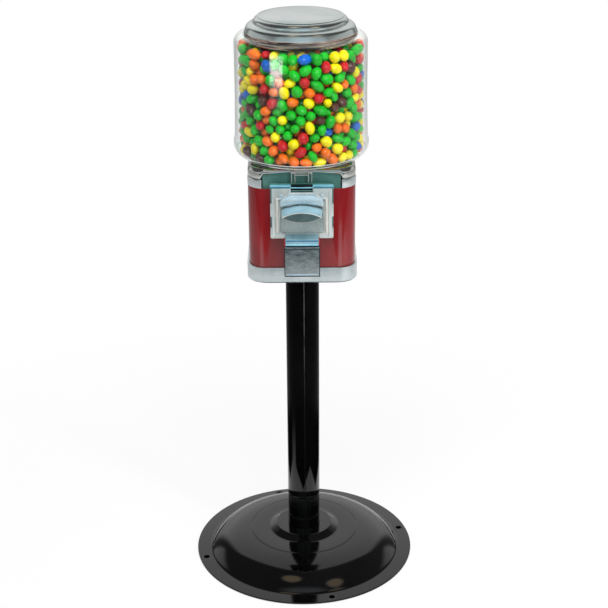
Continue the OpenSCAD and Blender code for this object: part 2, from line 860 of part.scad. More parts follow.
module handle() {
    grip_back = handle_y - grip_flange_t;
    color("#7d8086") difference() {
        union() {
            on_axis(grip_back, handle_y) circle(grip_flange_r);
            on_axis(grip_back - grip_out, handle_y - 1) intersection() {
                translate([0, grip_round - grip_t / 2]) circle(grip_round);
                translate([0, -grip_round + grip_t / 2]) circle(grip_round);
            }
        }
        on_axis(handle_y - shaft_in_grip - 0.5, handle_y + 1) circle(shaft_r + run);
        translate([0, handle_y - set_screw_in, handle_z - grip_t])
            cylinder(r = set_screw_r + run, h = grip_t);
    }
}

module handle_screw() {
    color("#4a4a4d") translate([0, handle_y - set_screw_in, handle_z - grip_t / 2 + 0.3])
        cylinder(r = set_screw_r, h = grip_t / 2 - shaft_r - 0.4);
}

module coin_wheel() {
    color("#b9a06a") on_axis(coin_wheel_y, coin_wheel_y + coin_wheel_t) difference() {
        circle(coin_wheel_r);
        circle(shaft_r + run);
        translate([0, coin_at]) circle(coin_r);
    }
}

module coin_pawl() {
    tip_x = 13;
    tip_z = sqrt(pow(coin_wheel_r + slip, 2) - tip_x * tip_x) + 0.1;
    arm = [[pawl_x, pawl_z - 3], [pawl_x, pawl_z + 3], [tip_x + 0.6, tip_z + 4], [tip_x, tip_z]];
    color("#8f9095") on_axis(coin_wheel_y, coin_wheel_y + coin_wheel_t) difference() {
        union() {
            polygon(arm);
            translate([pawl_x, pawl_z]) circle(pawl_eye_r);
        }
        translate([pawl_x, pawl_z]) circle(pawl_pin_r + run);
    }
}

module pawl_pin() {
    color("#a5a5aa") on_axis(coin_wheel_y, back_y + back_t) translate([pawl_x, pawl_z]) circle(pawl_pin_r);
}

// Gears

module drive_gear() {
    color("#c2a55c") on_axis(gear_front, gear_back) spur_gear(drive_teeth, drive_r, 0, shaft_r + run);
}

module idler_gear() {
    color("#d4c9a8") translate([0, 0, idler_z - handle_z]) on_axis(gear_front, gear_back)
        spur_gear(idler_teeth, idler_r, 180 / idler_teeth, idler_pin_r + run);
}

module idler_pin() {
    color("#a5a5aa") translate([0, 0, idler_z - handle_z]) {
        on_axis(gear_plate_y, gear_back + slip + idler_head_t) circle(idler_pin_r);
        on_axis(gear_back + slip, gear_back + slip + idler_head_t) circle(idler_head_r);
    }
}

base_plate();
pole();
pole_plug();
pole_bolt();
pole_washer();
pole_plate();
plate_bolts();
plate_nuts();
base_tray();
body_shell();
top_collar();
canister_seat();
center_rod();
rod_nuts();
coin_box();
canister();
candy_fill();
lid();
lid_bush();
hopper_pan();
product_wheel();
crown_gear();
agitator();
drop_shield();
product_chute();
chute_spout();
chute_housing();
chute_door();
door_pin();
mech_faceplate();
mech_panel();
coin_rails();
mech_backplate();
mech_screws();
gear_plate();
gear_posts();
shaft_bushes();
drive_shaft();
shaft_clip();
handle();
handle_screw();
coin_wheel();
coin_pawl();
pawl_pin();
drive_gear();
idler_gear();
idler_pin();
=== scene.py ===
import json
import math

import bmesh
import bpy
import numpy as np
from mathutils import Matrix, Vector

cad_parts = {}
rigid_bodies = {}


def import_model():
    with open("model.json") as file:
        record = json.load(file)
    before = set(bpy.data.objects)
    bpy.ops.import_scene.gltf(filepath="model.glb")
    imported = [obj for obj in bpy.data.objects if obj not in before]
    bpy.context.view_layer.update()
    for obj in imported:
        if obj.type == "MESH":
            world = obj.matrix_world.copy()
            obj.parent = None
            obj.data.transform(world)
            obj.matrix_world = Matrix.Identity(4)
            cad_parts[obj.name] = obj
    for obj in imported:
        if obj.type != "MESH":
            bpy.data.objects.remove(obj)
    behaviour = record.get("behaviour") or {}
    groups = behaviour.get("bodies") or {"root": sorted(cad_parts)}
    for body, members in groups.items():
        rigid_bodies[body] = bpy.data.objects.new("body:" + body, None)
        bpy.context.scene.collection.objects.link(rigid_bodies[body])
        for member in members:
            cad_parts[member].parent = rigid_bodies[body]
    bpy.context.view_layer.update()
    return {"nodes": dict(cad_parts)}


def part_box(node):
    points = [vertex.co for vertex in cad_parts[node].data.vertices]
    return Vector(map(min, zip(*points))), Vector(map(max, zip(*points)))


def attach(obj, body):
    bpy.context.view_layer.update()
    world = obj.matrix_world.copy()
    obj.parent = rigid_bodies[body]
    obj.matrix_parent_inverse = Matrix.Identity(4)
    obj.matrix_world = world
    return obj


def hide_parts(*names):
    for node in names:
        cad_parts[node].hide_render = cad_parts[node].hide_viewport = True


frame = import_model()
mm = 0.001
finishes = {}  # every finish by its name
print("frame loaded with", len(frame["nodes"]), "nodes")


# outlines and profiles, in millimetres

def nodeBox(node):
    low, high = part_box(node)
    return low / mm, high / mm


def nodeMiddle(node):
    return [(a + b) / 2 for a, b in zip(*nodeBox(node))]


def arcPoints(centre, radius, start, end, steps):
    angles = [math.radians(start + (end - start) * k / steps) for k in range(steps + 1)]
    return [(centre[0] + radius * math.cos(a), centre[1] + radius * math.sin(a)) for a in angles]


def rounded(points, steps=5, closed=True):  # a point is (u, v) or (u, v, corner radius)
    made = []
    count = len(points)
    for k, point in enumerate(points):
        corner = Vector(point[:2])
        radius = point[2] if len(point) > 2 else 0
        if not radius or (not closed and k in (0, count - 1)):
            made.append(tuple(corner))
            continue
        before = Vector(points[k - 1][:2]) - corner
        after = Vector(points[(k + 1) % count][:2]) - corner
        half = before.angle(after) / 2
        reach = min(radius / math.tan(half), before.length * 0.49, after.length * 0.49)
        radius = reach * math.tan(half)
        centre = corner + (before.normalized() + after.normalized()).normalized() * radius / math.sin(half)
        start = corner + before.normalized() * reach - centre
        end = corner + after.normalized() * reach - centre
        turn = math.atan2(start.x * end.y - start.y * end.x, start.dot(end))
        first = math.atan2(start.y, start.x)
        for j in range(steps + 1):
            a = first + turn * j / steps
            made.append((centre.x + radius * math.cos(a), centre.y + radius * math.sin(a)))
    return made


def box(left, low, right, high, radius=0.0):
    corners = [(left, low), (right, low), (right, high), (left, high)]
    return rounded([corner + (radius,) for corner in corners], 4)


def insetOutline(outline, depth):  # moves every edge of a closed outline inwards
    if not depth:
        return list(outline)
    points = [Vector(p) for p in outline]
    count = len(points)
    area = sum(points[k - 1].x * points[k].y - points[k - 1].y * points[k].x for k in range(count))
    side = 1 if area > 0 else -1
    made = []
    for k in range(count):
        into = (points[k] - points[k - 1]).normalized()
        out = (points[(k + 1) % count] - points[k]).normalized()
        normalIn = Vector((-into.y, into.x)) * side
        normalOut = Vector((-out.y, out.x)) * side
        both = normalIn + normalOut
        made.append(tuple(points[k] + both * depth * 2 / max(both.length_squared, 0.6)))
    return made


def alongX(u, v, t):
    return (t, u, v)


def alongY(u, v, t):
    return (u, t, v)


def alongZ(u, v, t):
    return (u, v, t)


# parts of a mesh as (points, faces), with a look as a third member where it isn't the piece's own

def loft(rings, closeRings=False, caps=False):  # joins closed loops of points one to the next
    size = len(rings[0])
    count = len(rings)
    faces = []
    for i in range(count if closeRings else count - 1):
        here = i * size
        there = (i + 1) % count * size
        for j in range(size):
            k = (j + 1) % size
            faces.append((here + j, here + k, there + k, there + j))
    if caps:
        faces.append(tuple(range(size)))
        faces.append(tuple(range((count - 1) * size, count * size)))
    return [p for ring in rings for p in ring], faces


def lathe(profile, steps=96, place=alongZ, centre=(0, 0)):
    rings = []
    for k in range(steps):
        a = 2 * math.pi * k / steps
        u, v = math.cos(a), math.sin(a)
        rings.append([place(centre[0] + r * u, centre[1] + r * v, t) for r, t in profile])
    return loft(rings, closeRings=True)


def slab(outline, near, far, place, nearRound=0.0, farRound=0.0):
    steps = 3
    way = 1 if far > near else -1
    rings = []
    for k in range(steps + 1 if nearRound else 1):
        a = math.pi / 2 * k / steps
        loop = insetOutline(outline, nearRound * (1 - math.sin(a)))
        rings.append([place(u, v, near + way * nearRound * (1 - math.cos(a))) for u, v in loop])
    for k in range(steps + 1 if farRound else 1):
        a = math.pi / 2 * k / steps
        loop = insetOutline(outline, farRound * (1 - math.cos(a)))
        rings.append([place(u, v, far - way * farRound * (1 - math.sin(a))) for u, v in loop])
    return loft(rings, caps=True)


def plate(look, outline, near, far, edge=0.0, farEdge=0.0):  # faces forwards
    return slab(outline, near, far, alongY, edge, farEdge) + (look,)


def bar(look, left, low, right, high, near, far, corner=0.0, edge=0.0):
    return plate(look, box(left, low, right, high, corner), near, far, edge)


def squarePath(width, corner, arcSteps=14, edgeSteps=1, gap=0.0):  # counted from the front, towards +X
    c = width / 2 - corner
    centres = [(c, -c), (c, c), (-c, c), (-c, -c)]
    stations = []
    for k, (x, y) in enumerate(centres):
        start = gap if k == 0 else 0
        end = 90 - gap if k == 3 else 90
        for j in range(arcSteps + 1):
            a = math.radians(90 * k + start + (end - start) * j / arcSteps)
            stations.append((x, y, math.sin(a), -math.cos(a)))
        if k == 3 and gap:
            break
        nextX, nextY = centres[(k + 1) % 4]
        nx, ny = stations[-1][2:]
        for j in range(1, edgeSteps):
            share = j / edgeSteps
            stations.append((x + (nextX - x) * share, y + (nextY - y) * share, nx, ny))
    return stations


def swept(stations, corner, profileAt):  # rings along a path, from a profile of (outward, height)
    rings = []
    for station in stations:
        x, y, nx, ny = station
        rings.append([(x + nx * (corner + d), y + ny * (corner + d), z) for d, z in profileAt(station)])
    return rings


# pieces

def makeObject(name, parts, look=None, sharp=32):
    points = []
    faces = []
    indices = []
    looks = [look]
    for part in parts:
        start = len(points)
        own = part[2] if len(part) > 2 else look
        if own not in looks:
            looks.append(own)
        points += part[0]
        faces += [tuple(start + k for k in face) for face in part[1]]
        indices += [looks.index(own)] * len(part[1])
    mesh = bpy.data.meshes.new(name)
    mesh.from_pydata([Vector(p) * mm for p in points], [], faces)
    mesh.polygons.foreach_set("material_index", indices)
    work = bmesh.new()
    work.from_mesh(mesh)
    bmesh.ops.remove_doubles(work, verts=work.verts, dist=0.002 * mm)
    bmesh.ops.dissolve_degenerate(work, edges=work.edges, dist=0.001 * mm)
    bmesh.ops.recalc_face_normals(work, faces=work.faces)
    work.to_mesh(mesh)
    work.free()
    smoothMesh(mesh, sharp)
    if look:
        paintFaces(mesh, looks)
    made = bpy.data.objects.new(name, mesh)
    bpy.context.scene.collection.objects.link(made)
    return made


def paintFaces(mesh, looks):  # a look is the name of a finish, or a function that picks one for a face
    used = []
    for face in mesh.polygons:
        look = looks[face.material_index]
        name = look(face.center / mm, face.normal) if callable(look) else look
        if name not in used:
            used.append(name)
            mesh.materials.append(finishes[name])
        face.material_index = used.index(name)


def smoothMesh(mesh, sharp):
    mesh.polygons.foreach_set("use_smooth", [True] * len(mesh.polygons))
    mesh.set_sharp_from_angle(angle=math.radians(sharp))


def cutAway(target, parts, sharp):  # takes the parts out of a finished object
    cutter = makeObject(target.name + "Cutter", parts)
    tool = target.modifiers.new("cut", "BOOLEAN")
    tool.operation = "DIFFERENCE"
    tool.solver = "EXACT"
    tool.object = cutter
    bpy.context.view_layer.update()
    graph = bpy.context.evaluated_depsgraph_get()
    mesh = bpy.data.meshes.new_from_object(target.evaluated_get(graph))
    target.modifiers.remove(tool)
    target.data = mesh
    smoothMesh(mesh, sharp)
    bpy.data.objects.remove(cutter)


def finishPiece(made, node, body="machine"):
    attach(made, body)
    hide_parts(node)
    print("piece", made.name, len(made.data.polygons), "faces")


def makePiece(name, parts, look, node, body="machine", sharp=40, holes=None):
    made = makeObject(name, parts, look, sharp)
    if holes:
        cutAway(made, holes, sharp)
    finishPiece(made, node, body)


# shader expressions

class Wire:  # a socket of a node tree that takes part in Python expressions
    def __init__(self, tree, socket=None):
        self.tree = tree
        self.socket = socket

    def add(self, kind, settings=None, values=None, out=0):
        node = self.tree.nodes.new(kind)
        for key, value in (settings or {}).items():
            setattr(node, key, value)
        for key, value in (values or {}).items():
            if isinstance(value, Wire):
                self.tree.links.new(value.socket, node.inputs[key])
            else:
                node.inputs[key].default_value = value
        return Wire(self.tree, node.outputs[out] if len(node.outputs) else None)

    def math(self, operation, first, second=0.0):
        return self.add("ShaderNodeMath", {"operation": operation}, {0: first, 1: second})

    def __add__(self, other):
        return self.math("ADD", self, other)

    __radd__ = __add__

    def __mul__(self, other):
        return self.math("MULTIPLY", self, other)

    __rmul__ = __mul__

    def __sub__(self, other):
        return self.math("SUBTRACT", self, other)

    def __rsub__(self, other):
        return self.math("SUBTRACT", other, self)

    def __pow__(self, other):
        return self.math("POWER", self, other)

    def __abs__(self):
        return self.math("ABSOLUTE", self)

    def ramp(self, low, high):  # 0 below low, 1 above high, smooth between
        values = {"Value": self, "From Min": low, "From Max": high}
        return self.add("ShaderNodeMapRange", {"interpolation_type": "SMOOTHSTEP"}, values)

    def blend(self, first, second):  # this value goes from the first colour to the second
        return self.add("ShaderNodeMix", {"data_type": "RGBA"}, {0: self, 6: first, 7: second}, out=2)

    def place(self):
        return self.add("ShaderNodeTexCoord", out="Object")

    def axis(self, name, vector=None):
        return self.add("ShaderNodeSeparateXYZ", None, {0: vector or self.place()}, out=name)

    def noise(self, scale, detail=2.0, vector=None):
        values = {"Vector": vector or self.place(), "Scale": scale, "Detail": detail}
        return self.add("ShaderNodeTexNoise", None, values)

    def stretched(self, scale):  # object coordinates drawn out along an axis, for brushed marks
        return self.add("ShaderNodeVectorMath", {"operation": "MULTIPLY"}, {0: self.place(), 1: scale})

    def ray(self, kind):
        return self.add("ShaderNodeLightPath", out="Is " + kind + " Ray")

    def bump(self, height, strength, distance=0.0003):
        values = {"Height": height, "Strength": strength, "Distance": distance}
        return self.add("ShaderNodeBump", None, values)

    def surface(self, values):
        return self.add("ShaderNodeBsdfPrincipled", None, values)

    def mixed(self, share, first, second):
        return self.add("ShaderNodeMixShader", None, {0: share, 1: first, 2: second})

    def close(self, shader):
        self.add("ShaderNodeOutputMaterial", None, {"Surface": shader})

    def cover(self, values):
        self.close(self.surface(values))


def newFinish(name):
    material = bpy.data.materials.new(name)
    material.use_nodes = True
    material.node_tree.nodes.clear()
    finishes[name] = material
    return Wire(material.node_tree)


def rgb(red, green, blue):  # an sRGB colour, 0 to 255, as linear light
    def linear(c):
        c = c / 255
        return c / 12.92 if c <= 0.04045 else ((c + 0.055) / 1.055) ** 2.4
    return (linear(red), linear(green), linear(blue), 1.0)


# finishes

blackPaint = {
    "dark": rgb(2, 2, 2),
    "light": rgb(7, 7, 7),
    "dust": rgb(50, 50, 50),
    "rough": 0.06,
    "peel": 0.02,
}


def makeBlackPaint(name, shine, coatTop=0.0):  # below coatTop the paint is still polished
    pen = newFinish(name)
    cloud = pen.noise(9.0, 4.0)
    dust = pen.noise(420.0, 3.0).ramp(0.62, 0.8)
    colour = cloud.ramp(0.35, 0.7).blend(blackPaint["dark"], blackPaint["light"])
    pen.cover({
        "Base Color": (dust * 0.12).blend(colour, blackPaint["dust"]),
        "Roughness": blackPaint["rough"] + cloud * 0.05 + dust * 0.08,
        "Specular IOR Level": shine,
        "Coat Weight": (1 - pen.axis("Z").ramp(coatTop * 0.45, coatTop)) * 0.85 if coatTop else 0.0,
        "Normal": pen.bump(pen.noise(260.0, 1.0), blackPaint["peel"], 0.0006),
    })


# The weld seam's colour is a painted highlight: pale grey above and dark below, broken by noise, standing in
# for a light line reflected along the pole.
seamLine = {"low": rgb(8, 8, 8), "high": rgb(92, 89, 84), "heights": (0.3, 0.6)}


def makeSeamHighlight():
    pen = newFinish("seamLine")
    shade = pen.axis("Z").ramp(*seamLine["heights"]) * pen.noise(30.0).ramp(0.2, 0.6)
    pen.cover({
        "Base Color": shade.blend(seamLine["low"], seamLine["high"]),
        "Roughness": 0.3,
        "Specular IOR Level": 0.1,
    })


redEnamel = {"deep": rgb(114, 5, 13), "bright": rgb(128, 9, 19), "rough": 0.16, "peel": 0.03}


def makeRedEnamel():
    pen = newFinish("redEnamel")
    cloud = pen.noise(14.0, 3.0)
    pen.cover({
        "Base Color": cloud.ramp(0.3, 0.7).blend(redEnamel["deep"], redEnamel["bright"]),
        "Roughness": redEnamel["rough"] + pen.noise(60.0, 4.0) * 0.1,
        "Specular IOR Level": 0.32,
        "Coat Weight": 0.6,
        "Coat Roughness": 0.1,
        "Normal": pen.bump(pen.noise(340.0, 1.0), redEnamel["peel"], 0.0005),
    })


grains = {  # spread of the roughness, scale, share of the fine grain in the colour, relief
    "mirror": (0.05, 120.0, 0.0, 0.0),
    "polished": (0.06, 120.0, 0.0, 0.0),
    "plated": (0.1, 300.0, 0.3, 0.04),
    "worn": (0.12, 300.0, 0.3, 0.04),
    "satin": (0.12, 300.0, 0.4, 0.05),
    "fineSatin": (0.12, 420.0, 0.4, 0.05),
    "matt": (0.12, 300.0, 0.3, 0.05),
    "painted": (0.15, 300.0, 0.3, 0.05),
    "pitted": (0.14, 600.0, 0.5, 0.1),
    "dull": (0.14, 500.0, 0.4, 0.08),
    "turned": (0.14, 700.0, 0.4, 0.08),
    "drawn": (0.12, 500.0, 0.4, 0.06),
}
metals = {  # dark and light colour, roughness, metallic, grain
    "satinSilver": ((192, 202, 204), (218, 225, 226), 0.34, 1.0, "fineSatin"),
    "brightChrome": ((168, 178, 176), (186, 193, 191), 0.21, 1.0, "polished"),
    "cushionChrome": ((166, 168, 164), (184, 186, 182), 0.09, 1.0, "mirror"),
    "plateChrome": ((188, 199, 199), (212, 218, 215), 0.32, 0.6, "worn"),
    # pale blue grip: a painted sheen of the sky window
    "gripChrome": ((142, 184, 200), (176, 211, 223), 0.22, 0.45, "plated"),
    # pale blue block: a painted sheen of the sky window on the chute block and the barrel's top
    "blueBlock": ((160, 204, 220), (196, 230, 240), 0.22, 0.45, "plated"),
    # bright blue ledge: a painted sheen of the sky window
    "blueLedge": ((112, 188, 214), (152, 214, 232), 0.22, 0.3, "plated"),
    # deep blue: painted shade under the ledge and along the chute block's lines
    "blueGroove": ((40, 98, 136), (68, 128, 162), 0.4, 0.3, "plated"),
    # pale bluish hood, brow, screws and door bars: a painted sheen of the sky window
    "paleHood": ((156, 180, 190), (194, 212, 219), 0.3, 0.4, "satin"),
    # near-white rails, coin guides and rounded edges: painted highlights
    "paleRail": ((198, 198, 192), (220, 218, 210), 0.3, 0.35, "satin"),
    # the boss is darker than the plate round it: painted shade round the grip
    "satinBoss": ((132, 146, 146), (164, 175, 174), 0.3, 0.8, "satin"),
    "gripFace": ((74, 96, 98), (98, 120, 122), 0.42, 0.7, "pitted"),
    "deepShade": ((84, 122, 122), (104, 142, 140), 0.5, 0.3, "matt"),
    "redCheek": ((150, 10, 20), (186, 18, 30), 0.3, 0.2, "plated"),
    # near black: painted shade in the coin slot, on the door's rims, under the door's barrel and on its web
    "darkRim": ((26, 34, 35), (54, 64, 65), 0.4, 1.0, "dull"),
    "panelPaint": ((64, 108, 100), (80, 126, 117), 0.4, 0.2, "painted"),
    "turnedSteel": ((150, 152, 154), (186, 188, 190), 0.28, 1.0, "turned"),
    "brass": ((176, 138, 62), (206, 170, 92), 0.25, 1.0, "drawn"),
}


def makeMetal(name, dark, light, rough, metallic, grain):
    spread, scale, fleck, relief = grains[grain]
    pen = newFinish(name)
    fine = pen.noise(scale, 4.0)
    shade = pen.noise(scale * 0.12, 3.0) * (1 - fleck) + fine * fleck
    pen.cover({
        "Base Color": shade.ramp(0.3, 0.7).blend(rgb(*dark), rgb(*light)),
        "Metallic": metallic,
        "Roughness": fine * spread + (rough - spread / 2),
        "Normal": pen.bump(fine, relief),
    })


# A painted reflection on the lid's foot, skirt and ribs: dark brown and pale streaks standing in for the
# candies mirrored in the chrome.
def makeLidPaintedReflection():
    pen = newFinish("lidSkirt")
    streak = pen.noise(1.0, 3.0, pen.stretched((26.0, 26.0, 520.0)))
    pen.cover({
        "Base Color": streak.ramp(0.42, 0.58).blend(rgb(26, 14, 12), rgb(186, 166, 154)),
        "Metallic": 0.8,
        "Roughness": streak * 0.1 + 0.18,
        "Normal": pen.bump(streak, 0.05),
    })


brushedZinc = {
    "dark": rgb(84, 92, 92),
    "light": rgb(150, 160, 162),
    "pale": rgb(182, 190, 192),
    "rough": 0.34,
}


def makeBrushedZinc():
    pen = newFinish("brushedZinc")
    streak = pen.noise(1.0, 4.0, pen.stretched((120.0, 120.0, 620.0)))
    cloud = pen.noise(95.0, 4.0, pen.stretched((1.0, 1.0, 1.8)))
    tone = streak * 0.45 + cloud * 0.55
    lower = 1 - pen.axis("Z").ramp(0.606, 0.65)  # paler towards the foot of the door
    colour = (tone + lower * 0.1).ramp(0.32, 0.7).blend(brushedZinc["dark"], brushedZinc["light"])
    pen.cover({
        "Base Color": (lower * 0.3).blend(colour, brushedZinc["pale"]),
        "Metallic": 1.0,
        "Roughness": streak * 0.16 + brushedZinc["rough"],
        "Normal": pen.bump(streak, 0.15),
    })


plastics = {  # dark and light colour, roughness
    "creamPlastic": ((216, 208, 190), (232, 226, 212), 0.38),
    "wheelRed": ((176, 34, 30), (204, 52, 44), 0.34),
    "boxGrey": ((48, 49, 53), (66, 67, 71), 0.45),
}


def makePlastic(name, dark, light, rough):
    pen = newFinish(name)
    pen.cover({
        "Base Color": pen.noise(18.0, 3.0).ramp(0.3, 0.7).blend(rgb(*dark), rgb(*light)),
        "Roughness": pen.noise(120.0, 3.0) * 0.12 + rough,
        "Normal": pen.bump(pen.noise(300.0), 0.05, 0.0002),
    })


clearPlastic = {"tint": rgb(253, 254, 254), "gloss": rgb(250, 252, 252), "shine": 0.02, "haze": 0.38}


def makeClearPlastic():
    pen = newFinish("clearCanister")
    facing = pen.add("ShaderNodeLayerWeight", None, {"Blend": 0.5}, out="Facing")
    through = pen.add("ShaderNodeBsdfTransparent", None, {"Color": clearPlastic["tint"]})
    ripple = pen.bump(pen.noise(9.0, 1.0), 0.06, 0.002)
    values = {"Color": clearPlastic["gloss"], "Roughness": 0.12, "Normal": ripple}
    gloss = pen.add("ShaderNodeBsdfGlossy", None, values)
    mirror = facing ** 5 * (1 - clearPlastic["shine"]) + clearPlastic["shine"]
    haze = pen.surface({"Base Color": rgb(246, 249, 248), "Roughness": 0.3})
    pen.close(pen.mixed(facing ** 6 * clearPlastic["haze"], pen.mixed(mirror, through, gloss), haze))


# pale rings near the canister's bottom: painted highlights standing in for reflected white arcs
def makePaintedRings():
    pen = newFinish("canisterMouldLine")
    through = pen.add("ShaderNodeBsdfTransparent", None, {"Color": clearPlastic["tint"]})
    pale = pen.surface({"Base Color": rgb(240, 244, 243), "Roughness": 0.25})
    pen.close(pen.mixed(pen.noise(24.0).ramp(0.2, 0.7) * 0.35 + 0.35, through, pale))


candyShell = {"rough": 0.2, "mottle": 0.12}


def makeCandyShell(name, colour):
    pen = newFinish(name)
    deep = tuple(c * 0.8 for c in colour[:3]) + (1.0,)
    pale = tuple(c * 0.9 + 0.03 for c in colour[:3]) + (1.0,)
    tone = pen.noise(38.0, 1.0).ramp(0.34, 0.66)
    speck = pen.noise(900.0, 3.0)
    pen.cover({
        "Base Color": (speck.ramp(0.55, 0.8) * 0.25).blend(tone.blend(deep, colour), pale),
        "Roughness": speck * 0.14 + candyShell["rough"],
        "Specular IOR Level": 0.3,
        "Coat Weight": 0.3,
        "Coat Roughness": 0.1,
        "Normal": pen.bump(pen.noise(240.0), candyShell["mottle"], 0.0006),
    })


makeBlackPaint("glossBlackPaint", 0.43)
makeBlackPaint("poleBlackPaint", 0.02, 0.3)
makeSeamHighlight()
makeRedEnamel()
for name, values in metals.items():
    makeMetal(name, *values)
makeLidPaintedReflection()
makeBrushedZinc()
for name, values in plastics.items():
    makePlastic(name, *values)
makeClearPlastic()
makePaintedRings()
print("finishes made:", len(finishes))


# stand

stand = {
    "steps": 144,
    "rimWidth": 26.0,
    "rimHeight": 3.0,
    "domeDrop": 8.5,  # from the top of the boss to the flat top of the dome
    "domeFlat": 60.0,  # radius where the dome's curve would be level
    "flatness": 3.6,
    "footReach": 66.0,
    "bossReach": 52.0,
    "lineRadius": 101.0,
    "lineDepth": 0.5,
    "lineHalf": 0.7,
    "holeTurn": 15.0,
    "boreGap": 0.3,
    "socketDepth": 8.0,  # how deep the pole stands in the boss
    "webDepth": 7.0,
    "boltRadius": 8.0,
    "poleWall": 2.5,
    "seam": 5.0,  # how far the weld seam stands from the front, in degrees
}


def makeBase():
    high = nodeBox("base_plate")[1]
    poleRadius = nodeBox("pole")[1].x
    outer = high.x
    rim = outer - stand["rimWidth"]
    base = stand["rimHeight"]
    rise = high.z - stand["domeDrop"] - base
    reach = stand["footReach"]
    dome = []
    for k in range(41):
        t = k / 40
        r = rim + (stand["domeFlat"] - rim) * t
        if r > reach + 4:
            dome.append((r, base + rise * (1 - (1 - t) ** stand["flatness"])))
    cone = [dome[-1], (reach, dome[-1][1] + 0.1, 4.0), (stand["bossReach"], high.z, 2.5),
            (poleRadius + 2, high.z)]
    line = stand["lineRadius"]
    half = stand["lineHalf"]
    scored = []  # the dome with its scored line
    for (r0, z0), (r1, z1) in zip(dome, dome[1:]):
        scored.append((r0, z0))
        if r0 > line >= r1:
            zAt = z0 + (z1 - z0) * (r0 - line) / (r0 - r1)
            scored += [(line + half, zAt), (line, zAt - stand["lineDepth"]), (line - half, zAt)]
    scored.append(dome[-1])
    edge = [(rim + 2, 0), (outer, 0, 0.6), (outer, base, 1.2), (rim + 2, base)]
    profile = rounded(edge, 4, closed=False)[1:]
    profile += [(rim, base + 0.3)] + scored[1:] + rounded(cone, 6, closed=False)[1:]
    bore = poleRadius + stand["boreGap"]
    socket = high.z - stand["socketDepth"]
    web = socket - stand["webDepth"]
    bolt = stand["boltRadius"]
    profile += [(bore, high.z), (bore, socket), (bolt, socket), (bolt, web), (50, web)]
    profile += [(r - 3, max(0.0, z - 6)) for r, z in reversed(dome)] + [(rim - 3, 0)]
    hole = [(0, -2), (5, -2), (5, 2.2), (6.2, 3.4), (6.2, 6), (0, 6)]
    centres = arcPoints((0, 0), (outer + rim) / 2, stand["holeTurn"], stand["holeTurn"] + 270, 3)
    holes = [lathe(hole, 32, centre=at) for at in centres]
    parts = [lathe(profile, stand["steps"])]
    makePiece("baseCasting", parts, "glossBlackPaint", "base_plate", holes=holes)


def makePole():
    low, high = nodeBox("pole")
    outer = high.x
    inner = outer - stand["poleWall"]
    profile = rounded([(outer, low.z, 0.4), (outer, high.z, 0.6), (inner, high.z), (inner, low.z)])
    a = math.radians(stand["seam"] - 90)
    bead = [(-0.9, -0.4), (-0.9, 0), (-0.45, 0.2), (0, 0.27), (0.45, 0.2), (0.9, 0), (0.9, -0.4)]
    seam = []
    for along, out in bead:  # the weld seam of the tube stands a little proud
        r = outer + out
        seam.append((math.cos(a) * r - math.sin(a) * along, math.sin(a) * r + math.cos(a) * along))
    # the seam bead carries the painted highlight
    line = slab(seam, low.z + 8, high.z - 0.5, alongZ) + ("seamLine",)
    makePiece("poleTube", [lathe(profile, 128), line], "poleBlackPaint", "pole")


makeBase()
makePole()


# body

body = {
    "width": 184.0,
    "corner": 32.0,
    "shellWall": 1.5,
    "trayCorner": 35.5,
    "trayWall": 3.3,
    "trayFloor": 4.0,
    "trayBottom": 7.5,  # rounding of the tray's lower edge
    "trayLip": 3.0,
    "windowHalf": 50.0,
    "band": 15.0,  # height of the collar that shows
    "cutout": 68.0,  # half the width of the opening in front
    "archLow": 779.5,
    "seatReach": 11.0,
    "seatBelly": 6.5,  # rounding of the cushion's side
    "seatHole": 80.6,
}


def makeTray():
    low, high = nodeBox("base_tray")
    corner = body["trayCorner"]
    wall = body["trayWall"]
    floor = low.z + body["trayFloor"]
    ledge = floor + 12
    lip = low.z - body["trayLip"]
    outline = [(-30, low.z), (-10, low.z), (-8, lip, 0.8), (0, lip, body["trayBottom"]), (0, high.z, 1.4),
               (-wall, high.z, 0.6), (-wall, ledge), (-wall - 6, ledge), (-wall - 6, floor), (-30, floor)]
    profile = rounded(outline, 7, closed=False)
    rings = swept(squarePath(high.x * 2, corner, 18), corner, lambda station: profile)

    def look(at, normal):  # the underside is painted black as painted shade, so the base below reflects it dark
        return "glossBlackPaint" if normal.z < -0.9 and at.z < low.z + 1 else "satinSilver"

    makePiece("trayShell", [loft(list(zip(*rings)), caps=True)], look, "base_tray")


def makeHousing():
    low, high = nodeBox("body_shell")
    wall = body["shellWall"]
    corner = body["corner"]
    profile = rounded([(0, low.z), (0, high.z, 0.8), (-wall, high.z, 0.5), (-wall, low.z)], 3)
    rings = swept(squarePath(body["width"], corner, 20), corner, lambda station: profile)
    windowLow = nodeBox("mech_faceplate")[0].z + 3.5
    window = box(-body["windowHalf"], windowLow, body["windowHalf"], high.z + 5)
    spoutLow, spoutHigh = nodeBox("chute_spout")
    mouth = box(-spoutHigh.x, spoutLow.z - 0.5, spoutHigh.x, spoutHigh.z)
    front = -body["width"] / 2
    holes = [slab(outline, front - 5, front + 10, alongY) for outline in (window, mouth)]
    parts = [loft(rings, closeRings=True)]
    makePiece("redHousing", parts, "redEnamel", "body_shell", holes=holes)


def makeCollar():
    low, high = nodeBox("top_collar")
    corner = body["corner"]
    band = high.z - body["band"]
    outline = [(0.5, band, 0.8), (0.5, band + 12, 2.0), (-1.2, high.z), (-5, high.z), (-5, low.z),
               (-1.7, low.z), (-1.7, band)]
    profile = rounded(outline, 4)
    gap = math.degrees(math.asin((body["cutout"] - body["width"] / 2 + corner) / corner))
    rings = swept(squarePath(body["width"], corner, 20, gap=gap), corner, lambda station: profile)
    makePiece("collarBand", [loft(rings, caps=True)], "satinSilver", "top_collar")


